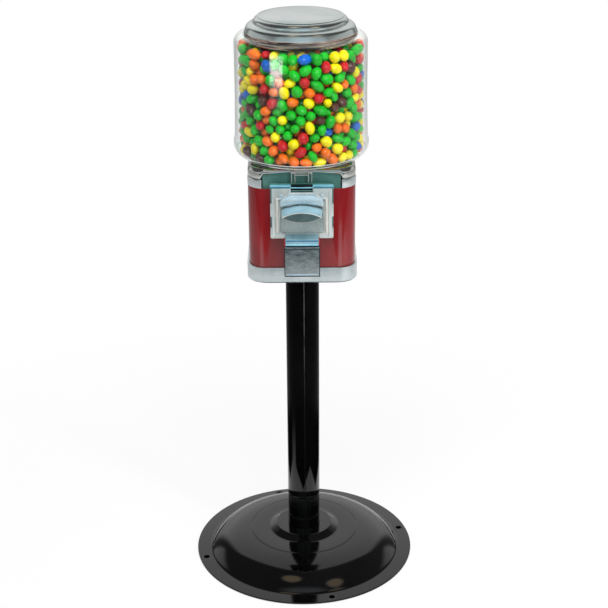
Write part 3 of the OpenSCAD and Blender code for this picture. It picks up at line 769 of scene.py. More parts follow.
def makeSeat():
    low, high = nodeBox("canister_seat")
    corner = body["corner"]
    inner = -body["seatReach"]
    top = high.z - 0.2

    def profileAt(station):
        x, y, nx, ny = station
        across = x + nx * corner
        away = 0.0
        if ny < -0.2:  # the front arches over the coin guides
            away = max(0.0, min(1.0, (body["cutout"] + 2 - abs(across)) / 4))
            away = away * away * (3 - 2 * away)
        arch = body["archLow"] + (high.z - 7 - body["archLow"]) * (1 - (across / body["cutout"]) ** 2)
        foot = low.z + (arch - low.z) * away
        tall = high.z - foot
        belly = min(body["seatBelly"], tall * 0.45)
        outline = [(-1.2, foot, belly * 0.5), (0, foot + tall * 0.3, belly), (0, foot + tall * 0.62, belly),
                   (-4.5, high.z, belly), (inner, top), (inner, foot)]
        return rounded(outline, 5)

    ring = loft(swept(squarePath(body["width"], corner, 26, 60), corner, profileAt), closeRings=True)
    disc = []
    for x, y, nx, ny in squarePath(body["width"], corner, 26, 12):
        px = x + nx * (corner + inner + 0.2)
        py = y + ny * (corner + inner + 0.2)
        scale = body["seatHole"] / math.hypot(px, py)
        disc.append([(px, py, top), (px * scale, py * scale, top),
                     (px * scale, py * scale, high.z - 6.5), (px, py, high.z - 6.5)])
    makePiece("seatCushion", [ring, loft(disc, closeRings=True)], "cushionChrome", "canister_seat")


makeTray()
makeHousing()
makeCollar()
makeSeat()


# canister and lid

glassware = {
    "steps": 144,
    "wall": 2.5,
    "floorWall": 1.6,
    "bottomRound": 22.0,
    "shoulder": 14.0,
    "lip": 3.7,
    "hole": 79.0,
    "mouthGap": 1.3,  # from the lid to the edge of the mouth
    "highlightRings": (-35, -76),
}


def makeCanister():
    low, high = nodeBox("canister")
    lip = high.x
    r = lip - glassware["lip"]
    wall = glassware["wall"]
    bend = glassware["bottomRound"]
    curve = glassware["shoulder"]
    mouth = nodeBox("lid")[1].x + glassware["mouthGap"]
    bottom = (lip - bend, low.z + bend)
    shoulder = (r - curve, high.z - curve)
    outside = arcPoints(bottom, bend, -90, 0, 14)
    bead = [outside[-1], (lip, bottom[1] + 5, 2.2), (r, bottom[1] + 8.7, 2.0), (r, shoulder[1])]
    outside += rounded(bead, 5, closed=False)[1:-1] + arcPoints(shoulder, curve, 0, 90, 14)
    inside = arcPoints(shoulder, curve - wall, 90, 0, 14)
    inside += arcPoints(bottom, bend - glassware["floorWall"], 0, -90, 14)
    edge = [outside[-1], (mouth, high.z, 0.9), (mouth, high.z - wall, 0.9), inside[0]]
    profile = [(glassware["hole"], low.z)] + outside + rounded(edge, 3, closed=False)[1:-1] + inside
    profile.append((glassware["hole"], low.z + glassware["floorWall"]))
    parts = [lathe(profile, glassware["steps"])]
    for angle in glassware["highlightRings"]:  # pale rings in the wall where the bottom curves, painted highlights
        at = arcPoints(bottom, bend - glassware["floorWall"] / 2, angle, angle, 1)[0]
        parts.append(lathe(arcPoints(at, 0.7, 0, 315, 7), glassware["steps"]) + ("canisterMouldLine",))
    makePiece("clearCanister", parts, "clearCanister", "canister")


lidShape = {
    "steps": 144,
    "dome": 1.0,
    "flat": 57.0,  # radius of the flat top
    "roll": 12.0,  # how far the disc's edge rolls down
    "ledge": 15.5,  # width of the flange beyond the disc
    "bead": 14.0,
    "cove": 2.6,
    "lean": (4.6, 2.8),  # where the flange starts to fall, in from its edge and under the crease
    "fall": 8.0,  # height of its upright edge
    "bow": 9.0,  # rounding of both bends
    "foot": 11.0,  # height of the flange's dark foot, a painted reflection
    "skirt": 5.7,
    "skirtIn": 4.5,
    "wall": 2.2,
    "ribs": 72,
}


def makeLid():
    low, high = nodeBox("lid")
    outer = high.x
    seat = low.z + lidShape["skirt"]
    discR = outer - lidShape["ledge"]
    edge = high.z - lidShape["dome"]
    crease = edge - lidShape["bead"]
    roll = lidShape["roll"]
    cove = lidShape["cove"]
    flat = lidShape["flat"]
    wall = lidShape["wall"]
    skirt = outer - lidShape["skirtIn"]
    under = edge - wall
    outside = [(flat * k / 8, high.z - lidShape["dome"] * (k / 8) ** 2) for k in range(8)]
    for u, v in arcPoints((0, 0), 1, 86, 0, 12):
        outside.append((flat + (discR - flat) * u, edge - roll + roll * v))
    outside += arcPoints((discR + cove, crease + cove), cove, 180, 262, 8)
    leanIn, leanDown = lidShape["lean"]
    bow = lidShape["bow"]
    flange = [outside[-1], (outer - leanIn, crease - leanDown, bow), (outer, seat + lidShape["fall"], bow),
              (outer, seat, 1.4), (skirt, seat)]
    outside += rounded(flange, 8, closed=False)[1:]
    inside = [(skirt - wall, low.z), (skirt - wall, seat + 7), (discR - 7, crease - 3.5), (discR - 7, under),
              (14, under), (14, under - 13), (10.05, under - 13), (10.05, under), (0, under)]
    band = [(skirt - 1.6, seat + 0.5), (skirt, seat + 0.5), (skirt, low.z, 0.8), (skirt - wall, low.z),
            (skirt - wall, seat)]

    def look(at, normal):  # the flange's dark foot, a painted reflection of the candies
        return "lidSkirt" if at.z < seat + lidShape["foot"] else "brightChrome"

    parts = [lathe(outside + inside, lidShape["steps"])]
    parts.append(lathe(rounded(band, 3), lidShape["steps"]) + ("lidSkirt",))
    for k in range(lidShape["ribs"]):
        a = 2 * math.pi * k / lidShape["ribs"]
        at = (math.cos(a) * (skirt - 0.1), math.sin(a) * (skirt - 0.1))
        rib = arcPoints(at, 0.55, 0, 315, 7)
        parts.append(slab(rib, low.z + 1.5, seat + 0.2, alongZ, 0.2) + ("lidSkirt",))
    makePiece("chromeLid", parts, look, "lid", "lid", 34)


makeCanister()
makeLid()


# candies

candies = {
    "seed": 11,
    "count": 1260,
    "size": (8.0, 10.3),  # mean radius
    "stretch": (1.04, 1.5),
    "envelope": 107.5,
    "floor": 793.0,
    "top": 987.0,
    "bend": 20.0,  # inside rounding of the canister's bottom
    "bendRadius": 92.0,
    "rod": 7.0,
    "rimCount": 34,  # candies laid along the bottom edge first
    "rimRadius": 97.0,
    "rimHeight": 803.0,
    "rounds": 420,
    "nearby": 26.0,
    "give": 0.55,  # share of a push that is taken up in one round
    "keepDepth": 42.0,  # candies deeper than this can't be seen
    "skin": 0.985,  # a candy is drawn a little smaller than it was packed
    "egg": 0.07,
    "dent": 0.02,
    "colours": {
        "Green": (0.43, rgb(12, 190, 32)),
        "Yellow": (0.17, rgb(255, 238, 0)),
        "Orange": (0.17, rgb(252, 116, 8)),
        "Red": (0.12, rgb(210, 20, 32)),
        "Brown": (0.075, rgb(82, 44, 36)),
        "Blue": (0.035, rgb(2, 100, 204)),
    },
}


def randomTurns(rng, count):  # rotation matrices from random quaternions
    q = rng.normal(size=(count, 4))
    q /= np.linalg.norm(q, axis=1)[:, None]
    w, x, y, z = q.T
    rows = [1 - 2 * (y * y + z * z), 2 * (x * y - z * w), 2 * (x * z + y * w),
            2 * (x * y + z * w), 1 - 2 * (x * x + z * z), 2 * (y * z - x * w),
            2 * (x * z - y * w), 2 * (y * z + x * w), 1 - 2 * (x * x + y * y)]
    return np.stack(rows, axis=1).reshape(-1, 3, 3)


def reachOf(shape, direction):  # how far an ellipsoid reaches from its middle along a direction
    return np.sqrt(np.maximum(np.einsum("ni,nij,nj->n", direction, shape, direction), 1e-9))


def around(radius, angle, height):
    return np.stack([radius * np.cos(angle), radius * np.sin(angle), height], axis=1)


def packCandies():  # pushes overlapping candies apart, and back inside the canister
    rng = np.random.default_rng(candies["seed"])
    count = candies["count"]
    mean = rng.uniform(*candies["size"], count)
    stretch = rng.uniform(*candies["stretch"], count)
    slim = mean * stretch ** (-1 / 3)
    axes = np.stack([mean * stretch ** (2 / 3), slim, slim], axis=1)
    turn = randomTurns(rng, count)
    shape = np.einsum("nij,nj,nkj->nik", turn, axes ** 2, turn)
    wall = candies["envelope"]
    floor = candies["floor"]
    top = candies["top"]
    radius = np.sqrt(rng.uniform(0.01, 1, count)) * (wall - 9)
    angle = rng.uniform(0, 2 * math.pi, count)
    at = around(radius, angle, rng.uniform(floor + 9, top - 9, count))
    laid = candies["rimCount"]
    rimAngle = np.arange(laid) * 2 * math.pi / laid
    at[:laid] = around(candies["rimRadius"], rimAngle, np.full(laid, candies["rimHeight"]))
    reachUp = reachOf(shape, np.tile([0.0, 0.0, 1.0], (count, 1)))
    bend = candies["bend"]
    bendAt = np.array([candies["bendRadius"], floor + bend])
    for turnNumber in range(candies["rounds"]):
        if turnNumber % 6 == 0:
            gap = at[:, None, :] - at[None, :, :]
            first, second = np.nonzero(np.triu((gap ** 2).sum(axis=2) < candies["nearby"] ** 2, 1))
        between = at[first] - at[second]
        apart = np.maximum(np.linalg.norm(between, axis=1), 1e-6)
        way = between / apart[:, None]
        press = np.maximum(reachOf(shape[first], way) + reachOf(shape[second], way) - apart, 0)
        push = way * (press * 0.5)[:, None]
        move = np.zeros_like(at)
        np.add.at(move, first, push)
        np.add.at(move, second, -push)
        at += move * candies["give"]
        out = at * [1, 1, 0]
        far = np.maximum(np.linalg.norm(out, axis=1), 1e-6)
        out = out / far[:, None]
        side = reachOf(shape, out)
        pulled = np.maximum(np.minimum(far, wall - side), candies["rod"] + side)
        at[:, :2] = out[:, :2] * pulled[:, None]
        at[:, 2] = np.clip(at[:, 2], floor + reachUp, top - reachUp)
        inBend = np.stack([pulled, at[:, 2]], axis=1) - bendAt
        deep = np.maximum(np.hypot(*inBend.T), 1e-6)
        rest = np.maximum(bend - (side + reachUp) / 2, 1.0)
        over = (inBend[:, 0] > 0) & (inBend[:, 1] < 0) & (deep > rest)
        inBend[over] *= (rest / deep)[over][:, None]
        at[over, :2] = out[over, :2] * (bendAt[0] + inBend[over, :1])
        at[over, 2] = bendAt[1] + inBend[over, 1]
    print("candies packed, deepest press", round(float(press.max()), 2), "mm")
    return at, axes, turn, rng


def candyForm():  # points and faces of one candy of radius 1
    work = bmesh.new()
    bmesh.ops.create_icosphere(work, subdivisions=3, radius=1.0)
    points = np.array([v.co for v in work.verts])
    faces = np.array([[v.index for v in f.verts] for f in work.faces])
    work.free()
    return points, faces


def makeCandies():
    at, axes, turn, rng = packCandies()
    count = len(at)
    seen = np.linalg.norm(at[:, :2], axis=1) > candies["envelope"] - candies["keepDepth"]
    seen |= at[:, 2] > candies["top"] - candies["keepDepth"]
    shares = np.cumsum([share for share, colour in candies["colours"].values()])
    kind = np.searchsorted(shares, rng.uniform(0, shares[-1], count))
    egg = rng.uniform(-candies["egg"], candies["egg"], count)
    dent = rng.uniform(-candies["dent"], candies["dent"], (count, 3))
    points, faces = candyForm()
    for index, (name, (share, colour)) in enumerate(candies["colours"].items()):
        chosen = np.nonzero(seen & (kind == index))[0]
        clouds = []
        for k in chosen:
            dents = (dent[k] * np.cos(2.4 * points + egg[k] * 9)).sum(axis=1)[:, None]
            lump = 1 + egg[k] * points[:, :1] + dents
            clouds.append((points * lump * axes[k] * candies["skin"]) @ turn[k].T + at[k])
        sides = np.concatenate([faces + n * len(points) for n in range(len(chosen))])
        mesh = bpy.data.meshes.new("candies" + name)
        mesh.from_pydata((np.concatenate(clouds) * mm).tolist(), [], sides.tolist())
        mesh.polygons.foreach_set("use_smooth", [True] * len(mesh.polygons))
        makeCandyShell("candy" + name, colour)
        mesh.materials.append(finishes["candy" + name])
        made = bpy.data.objects.new("candies" + name, mesh)
        bpy.context.scene.collection.objects.link(made)
        finishPiece(made, "candy_fill")


makeCandies()


# coin mechanism, with heights counted from the shaft

mech = {
    "depth": 11.8,  # from the back of the casting to the face of the plate
    "edge": 0.9,
    "notchDepth": 2.6,
    "notch": (-33.0, -12.5),
    "upperNotch": 10.0,
    "slot": 18.4,  # half the width of the coin slot
    "slotLow": 30.4,
    "ledgeDrop": 2.3,  # from the top of the node down to the ledge
    "ledge": 2.6,
    "groove": 1.4,  # gap under the ledge
    "strip": (3.2, 5.4),  # a raised strip's place, in from the plate's edge, and its width
    "rail": (39.6, 4.2, -40.5, 21.0),  # where a side rail starts, its width, foot and top
    "boss": (36.4, -41.0, 16.0),  # half width, foot and top
    "wing": 42.0,
    "wingLow": 19.6,
    "browSag": 5.0,  # how far the brow's lower edge droops at its ends
    "browFade": 9.0,
}


def makeBrow(front, axisZ):  # bulges over the grip and leans back to the coin slot
    rows = [(11.4, 36.2, 1.0), (12.0, 36.5, 5.0), (14, 37, 5.8), (17.5, 36.5, 5.6), (20, 34.5, 5.2),
            (21.5, 31, 4.8), (23, 27, 4.3), (24.6, 23.4, 3.8), (26.4, 20.8, 3.4), (28.4, 19.4, 2.6),
            (30, 19, 1.4), (31, 18.8, 0.2)]  # height, half width, bulge
    lowRise, lowHalf = rows[0][:2]
    rings = []
    for rise, half, out in rows:
        edge = [(half * k / 6, front - out) for k in range(5, -6, -1)]
        corners = [(-half, front + 1), (half, front + 1), (half, front - out, 2.2)] + edge
        corners.append((-half, front - out, 2.2))
        sag = mech["browSag"] * max(0.0, 1 - (rise - lowRise) / mech["browFade"])
        rings.append([(x, y, axisZ + rise - sag * (x / lowHalf) ** 2) for x, y in rounded(corners, 4)])
    # the brow carries the pale bluish painted sheen
    return loft(rings, caps=True) + ("paleHood",)


def withLeft(right):  # a whole outline from its right half, counted from the lower left corner
    left = [(-x, z, r) for x, z, r in reversed(right)]
    return left[-1:] + right + left[:-1]


def makeHood(look, front, axisZ):
    wing = mech["wing"]
    flare = [(wing, mech["wingLow"], 1.0), (wing, 21.6, 1.0), (36, 22.4, 0), (29.5, 24.2, 0),
             (25.4, 26.8, 0), (23.1, 30, 0), (22.2, 33.5, 0), (22, 37.6, 0.6), (19.6, 37.6, 0.6),
             (19.6, mech["slotLow"] - 0.2, 0)]
    outline = withLeft([(x, axisZ + z, r) for x, z, r in flare])
    return plate(look, rounded(outline, 4), front - 3.4, front + 1, 0.55)


def makeFaceplate():
    low, high = nodeBox("mech_faceplate")
    axisZ = nodeMiddle("drive_shaft")[2]
    half = high.x
    front = high.y - mech["depth"]  # face of the plate
    back = high.y - 2
    slot = mech["slot"]
    slotLow = axisZ + mech["slotLow"]
    ledgeTop = high.z - mech["ledgeDrop"]
    ledge = ledgeTop - mech["ledge"]
    groove = ledge - mech["groove"]
    deep = half - mech["notchDepth"]
    notchLow, notchHigh = (axisZ + z for z in mech["notch"])
    upper = axisZ + mech["upperNotch"]
    right = [(half, low.z, 3), (half, notchLow, 1.2), (deep, notchLow, 0.5), (deep, notchHigh, 0.5),
             (half, notchHigh, 1.2), (half, upper, 1.2), (deep, upper, 0.5), (deep, groove, 1.2),
             (slot, groove, 1.2), (slot, slotLow, 0.5)]

    def ledgeLook(at, normal):  # a pale blue painted sheen on top and deep blue painted shade in front
        return "blueGroove" if normal.y < -0.8 else "blueLedge"

    def hoodLook(at, normal):  # the rounded edge carries a painted highlight
        return "paleHood" if normal.y < -0.93 else "paleRail"

    parts = [plate("plateChrome", rounded(withLeft(right), 3), front, back, mech["edge"])]
    for side in (-1, 1):
        left, end = sorted((side * slot, side * half))
        parts.append(bar("deepShade", left, groove - 1, end, ledge + 1, front + 0.2, back))
        parts.append(bar(ledgeLook, left, ledge, end, ledgeTop, front - 0.6, back, 0.8, 0.8))
    lip = slot + 0.5
    parts.append(bar("blueLedge", -lip, ledge - 1.0, lip, ledge + 0.5, front - 0.2, front + 4, 0.3, 0.28))
    # the slot's inside is near black, a painted shade
    parts.append(bar("darkRim", -lip, slotLow - 1, lip, ledge, front + 0.8, high.y - 3))
    slotLine = box(-slot, slotLow + 2.6, slot, slotLow + 4, 0.3)
    parts.append(plate("deepShade", slotLine, front + 0.2, front + 4, 0.28))
    mouth = slot - 0.6
    parts.append(bar("darkRim", -mouth, ledge + 0.5, mouth, ledgeTop + 0.6, front + 1.6, high.y - 3))
    parts.append(bar("panelPaint", -half + 1, ledge, half - 1, high.z, high.y - 2.4, high.y - 0.2))
    sunk = front + 1  # where the raised parts end, inside the plate
    stripIn, stripWidth = mech["strip"]
    for x in (-half + stripIn, half - stripIn - stripWidth):
        strip = box(x, low.z + 2.5, x + stripWidth, groove - 2.5, 1.0)
        parts.append(plate("plateChrome", strip, front - 0.8, sunk, 0.5))
    railX, railWidth, railLow, railHigh = mech["rail"]
    foot = axisZ + railLow
    top = axisZ + railHigh
    # the side rails are near white, a painted highlight
    for x in (-railX - railWidth, railX):
        parts.append(bar("paleRail", x, foot, x + railWidth, top, front - 4.6, sunk, 1.4, 1.3))
    wide, bossLow, bossHigh = mech["boss"]
    boss = box(-wide, axisZ + bossLow, wide, axisZ + bossHigh, 1.5)
    # the boss is darker, a painted shade round the grip
    parts.append(plate("satinBoss", boss, front - 2.6, sunk, 1.2))
    parts.append(makeHood(hoodLook, front, axisZ))
    parts.append(makeBrow(front, axisZ))
    backing = box(-half + 0.3, low.z + 0.6, half - 0.3, ledgeTop - 0.5, 2.5)
    parts.append(plate("deepShade", backing, high.y - 3.5, high.y - 0.2, 0.2))
    makePiece("mechCasting", parts, "plateChrome", "mech_faceplate", sharp=38)


guides = {
    "width": 6.2,
    "wallHalf": 0.4,
    "capDrop": 3.2,  # from the top of the node to the guides' top
    "floorDepth": 2.6,
}


def makeGuides():
    low, high = nodeBox("coin_rails")
    inner = high.x - guides["width"]
    top = high.z - guides["capDrop"]
    back = high.y
    wall = guides["wallHalf"]
    parts = []
    # the guides' walls, caps and bars carry the painted highlight
    for side in (-1, 1):
        for x in (side * inner, side * (high.x - wall)):
            parts.append(bar("paleRail", x - wall, low.z, x + wall, top, low.y + 1, back, 0.2, 0.18))
        left, right = sorted((side * inner, side * high.x))
        parts.append(bar("panelPaint", left, low.z, right, top - 0.6, back - guides["floorDepth"], back))
        cap = box(left - wall, top - 1.2, right + wall, top + 0.6, 0.8)
        parts.append(plate("paleRail", cap, low.y + 0.6, back, 0.4))
    for z in (top - 5.4, top - 1.2):
        parts.append(bar("paleRail", -inner, z, inner, z + 0.9, low.y + 2.2, back, 0.3, 0.3))
    parts.append(bar("deepShade", -inner, top - 5, inner, top - 0.8, back - 2.4, back))
    makePiece("coinGuides", parts, "paleRail", "coin_rails", sharp=38)


grip = {
    "half": 8.6,
    "tipRound": 1.5,
    "edge": 1.1,
    "gap": 0.6,  # from the back of the grip to the back of the node
    "swell": 1.6,  # how much the wing widens towards the plate
    "endSwell": 4.6,
    "endReach": 1.5,
}


def makeGrip():
    low, high = nodeBox("handle")
    axisZ = nodeMiddle("handle")[2]
    length = high.x
    half = grip["half"]
    bend = (length ** 2 + half ** 2) / (2 * half)
    swing = math.degrees(math.asin(length / bend))
    upper = arcPoints((0, axisZ + half - bend), bend, 90 - swing, 90 + swing, 32)
    lower = arcPoints((0, axisZ - half + bend), bend, 270 - swing, 270 + swing, 32)
    lens = upper[:-1] + lower[:-1]
    lens = rounded([(u, v, grip["tipRound"]) if abs(u) > length - 0.2 else (u, v) for u, v in lens], 3)
    edge = grip["edge"]
    front = low.y
    shoulder = front + edge
    depth = high.y - grip["gap"] - front - edge
    rings = []
    for k in range(5):  # rounded edge of the flat face
        a = math.pi / 2 * k / 4
        inset = edge * (1 - math.sin(a))
        slim = 1 - inset / half
        short = 1 - inset * 3 / length
        y = front + edge * (1 - math.cos(a))
        rings.append([(u * short, y, axisZ + (v - axisZ) * slim) for u, v in lens])
    for k in range(1, 13):  # the wing swells towards the plate
        s = k / 12
        stretch = 1 + grip["endReach"] / length * s * s
        ring = []
        for u, v in lens:
            rise = v - axisZ
            tip = rise / (abs(rise) + 0.8) * (u / length) ** 4
            spread = rise / half * grip["swell"] + tip * grip["endSwell"]
            ring.append((u * stretch, shoulder + depth * s, axisZ + rise + spread * s * s))
        rings.append(ring)

    def look(at, normal):  # the wing's pale blue painted sheen, the flat face, and a painted highlight on the edge round it
        if at.y >= shoulder:
            return "gripChrome"
        return "gripFace" if normal.y < -0.98 else "paleRail"

    makePiece("wingGrip", [loft(rings, caps=True)], look, "handle", "handle", 38)


screws = {
    "upper": (34.5, 25.6),  # across, and above the shaft
    "lower": (41.5, -36.0),
    "shank": 2.0,
    "depth": 6.0,  # the upper shanks end inside the casting
    "tail": 10.0,
}


def makeScrews():
    low, high = nodeBox("mech_screws")
    axisZ = nodeMiddle("drive_shaft")[2]
    seat = low.y + 0.6
    tip = seat + screws["depth"]
    r = screws["shank"]
    head = [(0, seat - 2.3), (1.6, seat - 2.2), (3.2, seat - 1.2, 0.8), (3.4, seat), (r, seat), (r, tip),
            (0, tip)]
    end = high.y - screws["tail"]
    tail = [(0, end), (r, end), (r, high.y), (0, high.y)]
    parts = []
    for outline, steps, (x, z) in ((rounded(head, 4), 28, screws["upper"]), (tail, 20, screws["lower"])):
        for side in (-1, 1):
            parts.append(lathe(outline, steps, alongY, (side * x, axisZ + z)))
    # the screw heads carry the pale bluish painted sheen
    makePiece("plateScrews", parts, "paleHood", "mech_screws", sharp=38)


makeFaceplate()
makeGuides()
makeGrip()
makeScrews()


# chute

chute = {
    "blockRise": 4.3,  # from the pin up to the block
    "noseDrop": 6.4,
    "cheek": 2.2,
    "cheekRadius": 3.3,
    "cheekRise": 7.0,
    "flapDrop": 3.6,  # from the pin down to the flap
    "flapFront": 3.0,  # from the pin forwards to the flap's face
    "flapDepth": 3.5,
    "rim": 1.3,
    "rimOut": 0.7,
    "footBar": 3.4,
    "barrel": 3.7,
    "barrelGap": 2.6,  # room for the cheeks
    "boreGap": 0.2,
}


def makeBlock():
    low, high = nodeBox("chute_housing")
    pinY, pinZ = nodeMiddle("door_pin")[1:]
    half = high.x
    under = pinZ + chute["blockRise"]
    front = low.y + 0.3
    back = high.y - mech["depth"]
    nose = high.z - chute["noseDrop"]
    outline = [(high.y, under), (front, under, 1.0), (front, nose, 1.6), (back, high.z - 1.4, 0.8),
               (back, under + 2), (high.y, under + 2)]
    parts = [slab(rounded(outline, 5), -half + 2, half - 2, alongX, 0.6, 0.6)]
    noseLine = [(front + 4, nose + 1.3), (front + 1.2, nose + 0.25), (front - 0.2, nose - 0.9),
                (front - 0.2, nose - 2.0), (front + 4, nose - 2.0)]
    lowLine = [(front + 3, under + 1.6), (front - 0.15, under + 1.8), (front - 0.15, under + 3.8),
               (front + 3, under + 4)]
    # the two deep blue lines across the block are painted shade
    for line in (noseLine, lowLine):
        parts.append(slab(line, -half + 2.4, half - 2.4, alongX) + ("blueGroove",))
    r = chute["cheekRadius"]
    top = under + chute["cheekRise"]
    cheek = [(pinY - r, top)] + arcPoints((pinY, pinZ), r, 180, 360, 16) + [(pinY + r, top)]
    for x in (-half, half - chute["cheek"]):
        parts.append(slab(cheek, x, x + chute["cheek"], alongX, 0.3, 0.3) + ("redCheek",))
    makePiece("hingeBlock", parts, "blueBlock", "chute_housing", sharp=38)


def makeFlap():
    low, high = nodeBox("chute_door")
    pinY, pinZ = nodeMiddle("door_pin")[1:]
    half = high.x
    foot = low.z
    top = pinZ - chute["flapDrop"]
    front = pinY - chute["flapFront"]
    back = front + chute["flapDepth"]
    rim = chute["rim"]
    inner = half - rim
    side = half - 0.3
    leaf = box(-half, foot, half, top, 1.4)
    parts = [plate("brushedZinc", leaf, front + chute["rimOut"], back, 0.3, 0.5)]
    # the door's rims are near black, a painted shade
    rims = [(-half, foot, -inner, top), (inner, foot, half, top), (-side, foot, side, foot + rim),
            (-side, top - 5, side, top - 4.1)]
    for edges in rims:
        parts.append(bar("darkRim", *edges, front, front + 1.6, 0.4, 0.35))
    footRim = foot + rim
    strip = box(1 - inner, footRim + 0.6, inner - 1, footRim + chute["footBar"], 0.5)
    # the pale bars on the door are painted highlights
    parts.append(plate("paleHood", strip, front + 0.1, front + 1.5, 0.5))
    parts.append(bar("paleHood", -inner, top - 1.6, inner, top - 0.3, front + 0.1, front + 1.5, 0.4, 0.35))

    def barrelLook(at, normal):  # painted light and shade: the pale blue sheen on top, deeper blue lower down, then painted shade at the foot
        if at.z >= pinZ + 1.4:
            return "blueBlock"
        return "blueLedge" if at.z > pinZ - 0.9 else "darkRim"

    end = half - chute["barrelGap"]
    bore = nodeBox("door_pin")[1].z - pinZ + chute["boreGap"]
    r = chute["barrel"]
    knuckle = rounded([(bore, -end), (r, -end, 0.4), (r, end, 0.4), (bore, end)], 3)
    parts.append(lathe(knuckle, 40, alongX, (pinY, pinZ)) + (barrelLook,))
    web = [(front, top - 1), (back, top - 1), (back, pinZ - 2.9), (front, pinZ - 2)]
    parts.append(slab(web, -end, end, alongX) + ("darkRim",))
    makePiece("chuteFlap", parts, "brushedZinc", "chute_door", "door", 38)


makeBlock()
makeFlap()


# finishes of the pieces that stay as the frame has them

nodeFinish = {
    "glossBlackPaint": ["pole_plate"],
    "turnedSteel": ["pole_plug", "pole_bolt", "pole_washer", "plate_bolts", "plate_nuts", "center_rod",
                    "rod_nuts", "door_pin", "mech_backplate", "gear_plate", "gear_posts", "drive_shaft",
                    "shaft_clip", "handle_screw", "coin_pawl", "pawl_pin", "idler_pin"],
    "brass": ["lid_bush", "shaft_bushes", "coin_wheel", "drive_gear"],
    "creamPlastic": ["hopper_pan", "crown_gear", "agitator", "drop_shield", "product_chute", "idler_gear"],
    "wheelRed": ["product_wheel"],
    "boxGrey": ["coin_box"],
    "brushedZinc": ["chute_spout"],
    "panelPaint": ["mech_panel"],
}
for finish, nodes in nodeFinish.items():
    for node in nodes:
        mesh = frame["nodes"][node].data
        mesh.materials.clear()
        mesh.materials.append(finishes[finish])
print("carried nodes finished:", sum(len(nodes) for nodes in nodeFinish.values()))


# floor, light and camera

studio = {
    "floorSize": 60.0,
    "floorDrop": 0.0005,
    "floorColour": rgb(240, 240, 240),
    "farColour": rgb(120, 126, 123),
    "skyColour": rgb(170, 180, 184),
    "nearWhite": 0.78,
    "ambient": 0.42,
    "dark": 0.12,  # what mirrors see between the bright zones
    "backdrop": 0.95,
    "window": 1.2,
    "strips": 0.7,
    "windowColour": (0.72, 0.9, 1.0, 1),
    "warm": 1.6,
    "warmColour": (1.0, 0.78, 0.5, 1),
    "warmSpots": [(-0.17, -0.24, 0.956), (0.44, -0.36, 0.823)],
    "darkSides": [{"bearing": -0.08, "half": 1.0, "near": 0.19}, {"bearing": 1.6, "half": 0.95, "near": 0.2},
                  {"bearing": -2.0, "half": 0.6, "near": 0.22}],
}


def makeFloor():
    size = studio["floorSize"]
    mesh = bpy.data.meshes.new("floor")
    corners = [(-size, -size, 0), (size, -size, 0), (size, size, 0), (-size, size, 0)]
    mesh.from_pydata(corners, [], [(0, 1, 2, 3)])
    floor = bpy.data.objects.new("floor", mesh)
    floor.location.z = -studio["floorDrop"]
    bpy.context.scene.collection.objects.link(floor)
    pen = newFinish("paleFloor")
    away = pen.add("ShaderNodeVectorMath", {"operation": "LENGTH"}, {0: pen.place()}, out="Value")
    clear = away.ramp(0.198, 0.206)  # 0 under the base, where the floor is painted black: painted shade under the base
    white = studio["nearWhite"] + away.ramp(0.4, 1.3) * (1 - studio["nearWhite"])
    ahead = 0 - pen.axis("Y")
    sheetEnd = ahead.ramp(1.95, 2.07)  # the pale sheet ends in front
    colour = sheetEnd.blend(studio["floorColour"], studio["farColour"])
    colour = ahead.ramp(3.6, 4.0).blend(colour, studio["skyColour"])
    bearing = pen.math("ARCTAN2", pen.axis("X"), ahead)  # 0 straight ahead of the machine
    mat = 0.0
    for dark in studio["darkSides"]:  # dark ground between the pale patches round the foot
        spread = away.ramp(dark["near"], dark["near"] + 0.14) * dark["half"]
        mat = (spread - abs(bearing - dark["bearing"])).ramp(0.0, 0.14) + mat
    mirrored = pen.ray("Glossy") * (mat * (1 - away.ramp(0.5, 0.7)))
    colour = mirrored.blend(colour, (0.01, 0.01, 0.01, 1))  # the dark ground shows only in reflections
    matt = pen.add("ShaderNodeBsdfDiffuse", None, {"Color": clear.blend((0, 0, 0, 1), colour)})
    glow = pen.add("ShaderNodeEmission", None, {"Strength": 1.0})
    pen.close(pen.mixed(pen.ray("Camera") * white * clear, matt, glow))
    mesh.materials.append(finishes["paleFloor"])


def makeWorld():
    world = bpy.data.worlds.new("studio")
    world.use_nodes = True
    world.node_tree.nodes.clear()
    bpy.context.scene.world = world
    pen = Wire(world.node_tree)
    direction = pen.add("ShaderNodeTexCoord", out="Generated")
    x, y, z = (pen.axis(name, direction) for name in "XYZ")
    side = abs(x)
    bow = pen.math("SQRT", x * x + 0.0625) * 1.1 - 0.275  # edge of the bright backdrop behind the machine
    backdrop = (y - bow).ramp(0.05, 0.13) * (1 - side.ramp(0.5, 0.62)) * (z.ramp(0.0, 0.3) * 0.4 + 0.6)
    window = (0 - y).ramp(0.48, 0.6) * (1 - z.ramp(0.3, 0.7) * 0.5) * (1 - side.ramp(0.2, 0.45) * 0.35)
    strips = side.ramp(0.66, 0.72) * (1 - side.ramp(0.86, 0.92) * (1 - z.ramp(0.0, 0.08)))
    strips = strips * (1 - z.ramp(0.3, 0.45))
    warm = 0.0
    for spot in studio["warmSpots"]:
        ends = {0: direction, 1: spot}
        near = pen.add("ShaderNodeVectorMath", {"operation": "DOT_PRODUCT"}, ends, out="Value")
        warm = near.ramp(0.988, 0.997) + warm
    mirror = backdrop * studio["backdrop"] + window * studio["window"] + strips * studio["strips"]
    mirror = mirror + warm * studio["warm"] + studio["dark"]
    glossy = pen.ray("Glossy")
    seen = pen.math("MINIMUM", pen.ray("Camera") + pen.ray("Transmission"), 1.0)
    strength = seen + (1 - seen) * (glossy * mirror + (1 - glossy) * studio["ambient"])
    colour = (window * glossy).blend((1, 1, 1, 1), studio["windowColour"])
    colour = (warm * glossy).blend(colour, studio["warmColour"])
    shader = pen.add("ShaderNodeBackground", None, {"Color": colour, "Strength": strength})
    pen.add("ShaderNodeOutputWorld", None, {"Surface": shader})


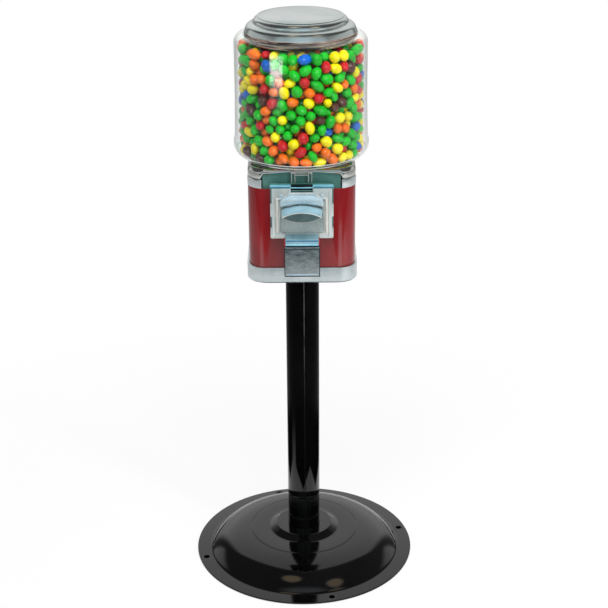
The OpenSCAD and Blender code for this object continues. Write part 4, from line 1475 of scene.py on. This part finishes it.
lamps = {  # a lamp with "only" lights the pieces whose names start that way, and shows in them
    "topBox": {"at": (0.0, -1.1, 2.7), "aim": 0.85, "size": (1.5, 0.9), "power": 46},
    "leftBox": {"at": (-0.95, -1.08, 0.705), "aim": 0.705, "size": (0.56, 0.06), "power": 2.6,
                "only": "clearCanister"},
    "rightLine": {"at": (0.55, -1.39, 0.2), "aim": 0.7, "size": (0.55, 0.45), "power": 1.0,
                  "only": "redHousing"},
    "leftLine": {"at": (-0.88, -1.21, 0.14), "aim": 0.7, "size": (0.5, 0.35), "power": 0.5,
                 "only": "redHousing"},
    "candyGlint": {"at": (0.3, -2.2, 1.8), "aim": 0.9, "size": (0.5, 0.5), "power": 30, "only": "candies",
                   "matt": False},
    "rightBox": {"at": (1.9, -1.8, 1.35), "aim": 0.75, "size": (0.4, 1.7), "power": 30},
    "backBox": {"at": (0.5, 2.2, 2.3), "aim": 0.8, "size": (1.6, 1.0), "power": 26},
}


def makeLamps():
    for name, lamp in lamps.items():
        data = bpy.data.lights.new(name, "AREA")
        data.shape = "RECTANGLE"
        data.size, data.size_y = lamp["size"]
        data.energy = lamp["power"]
        made = bpy.data.objects.new(name, data)
        made.location = lamp["at"]
        facing = Vector((0, 0, lamp["aim"])) - made.location
        made.rotation_euler = facing.to_track_quat("-Z", "Y").to_euler()
        made.visible_glossy = "only" in lamp
        if "only" in lamp:
            lit = bpy.data.collections.new(name + "Lit")
            for other in bpy.data.objects:
                if other.name.startswith(lamp["only"]):
                    lit.objects.link(other)
            made.light_linking.receiver_collection = lit
            made.visible_diffuse = lamp.get("matt", True)
        bpy.context.scene.collection.objects.link(made)


view = {"back": 2.4377, "height": 1.545, "tilt": 66.906, "roll": -0.38, "yaw": -0.063, "lens": 86.66}


def makeCamera():
    data = bpy.data.cameras.new("photoCamera")
    data.lens = view["lens"]
    data.sensor_width = 36
    camera = bpy.data.objects.new("photoCamera", data)
    turn = Matrix.Translation((0, -view["back"], view["height"]))
    for angle, axis in (("yaw", "Z"), ("tilt", "X"), ("roll", "Z")):
        turn = turn @ Matrix.Rotation(math.radians(view[angle]), 4, axis)
    camera.matrix_world = turn
    bpy.context.scene.collection.objects.link(camera)
    bpy.context.scene.camera = camera


makeFloor()
makeWorld()
makeLamps()
makeCamera()
bpy.context.scene.view_settings.view_transform = "Standard"
print("stage ready")
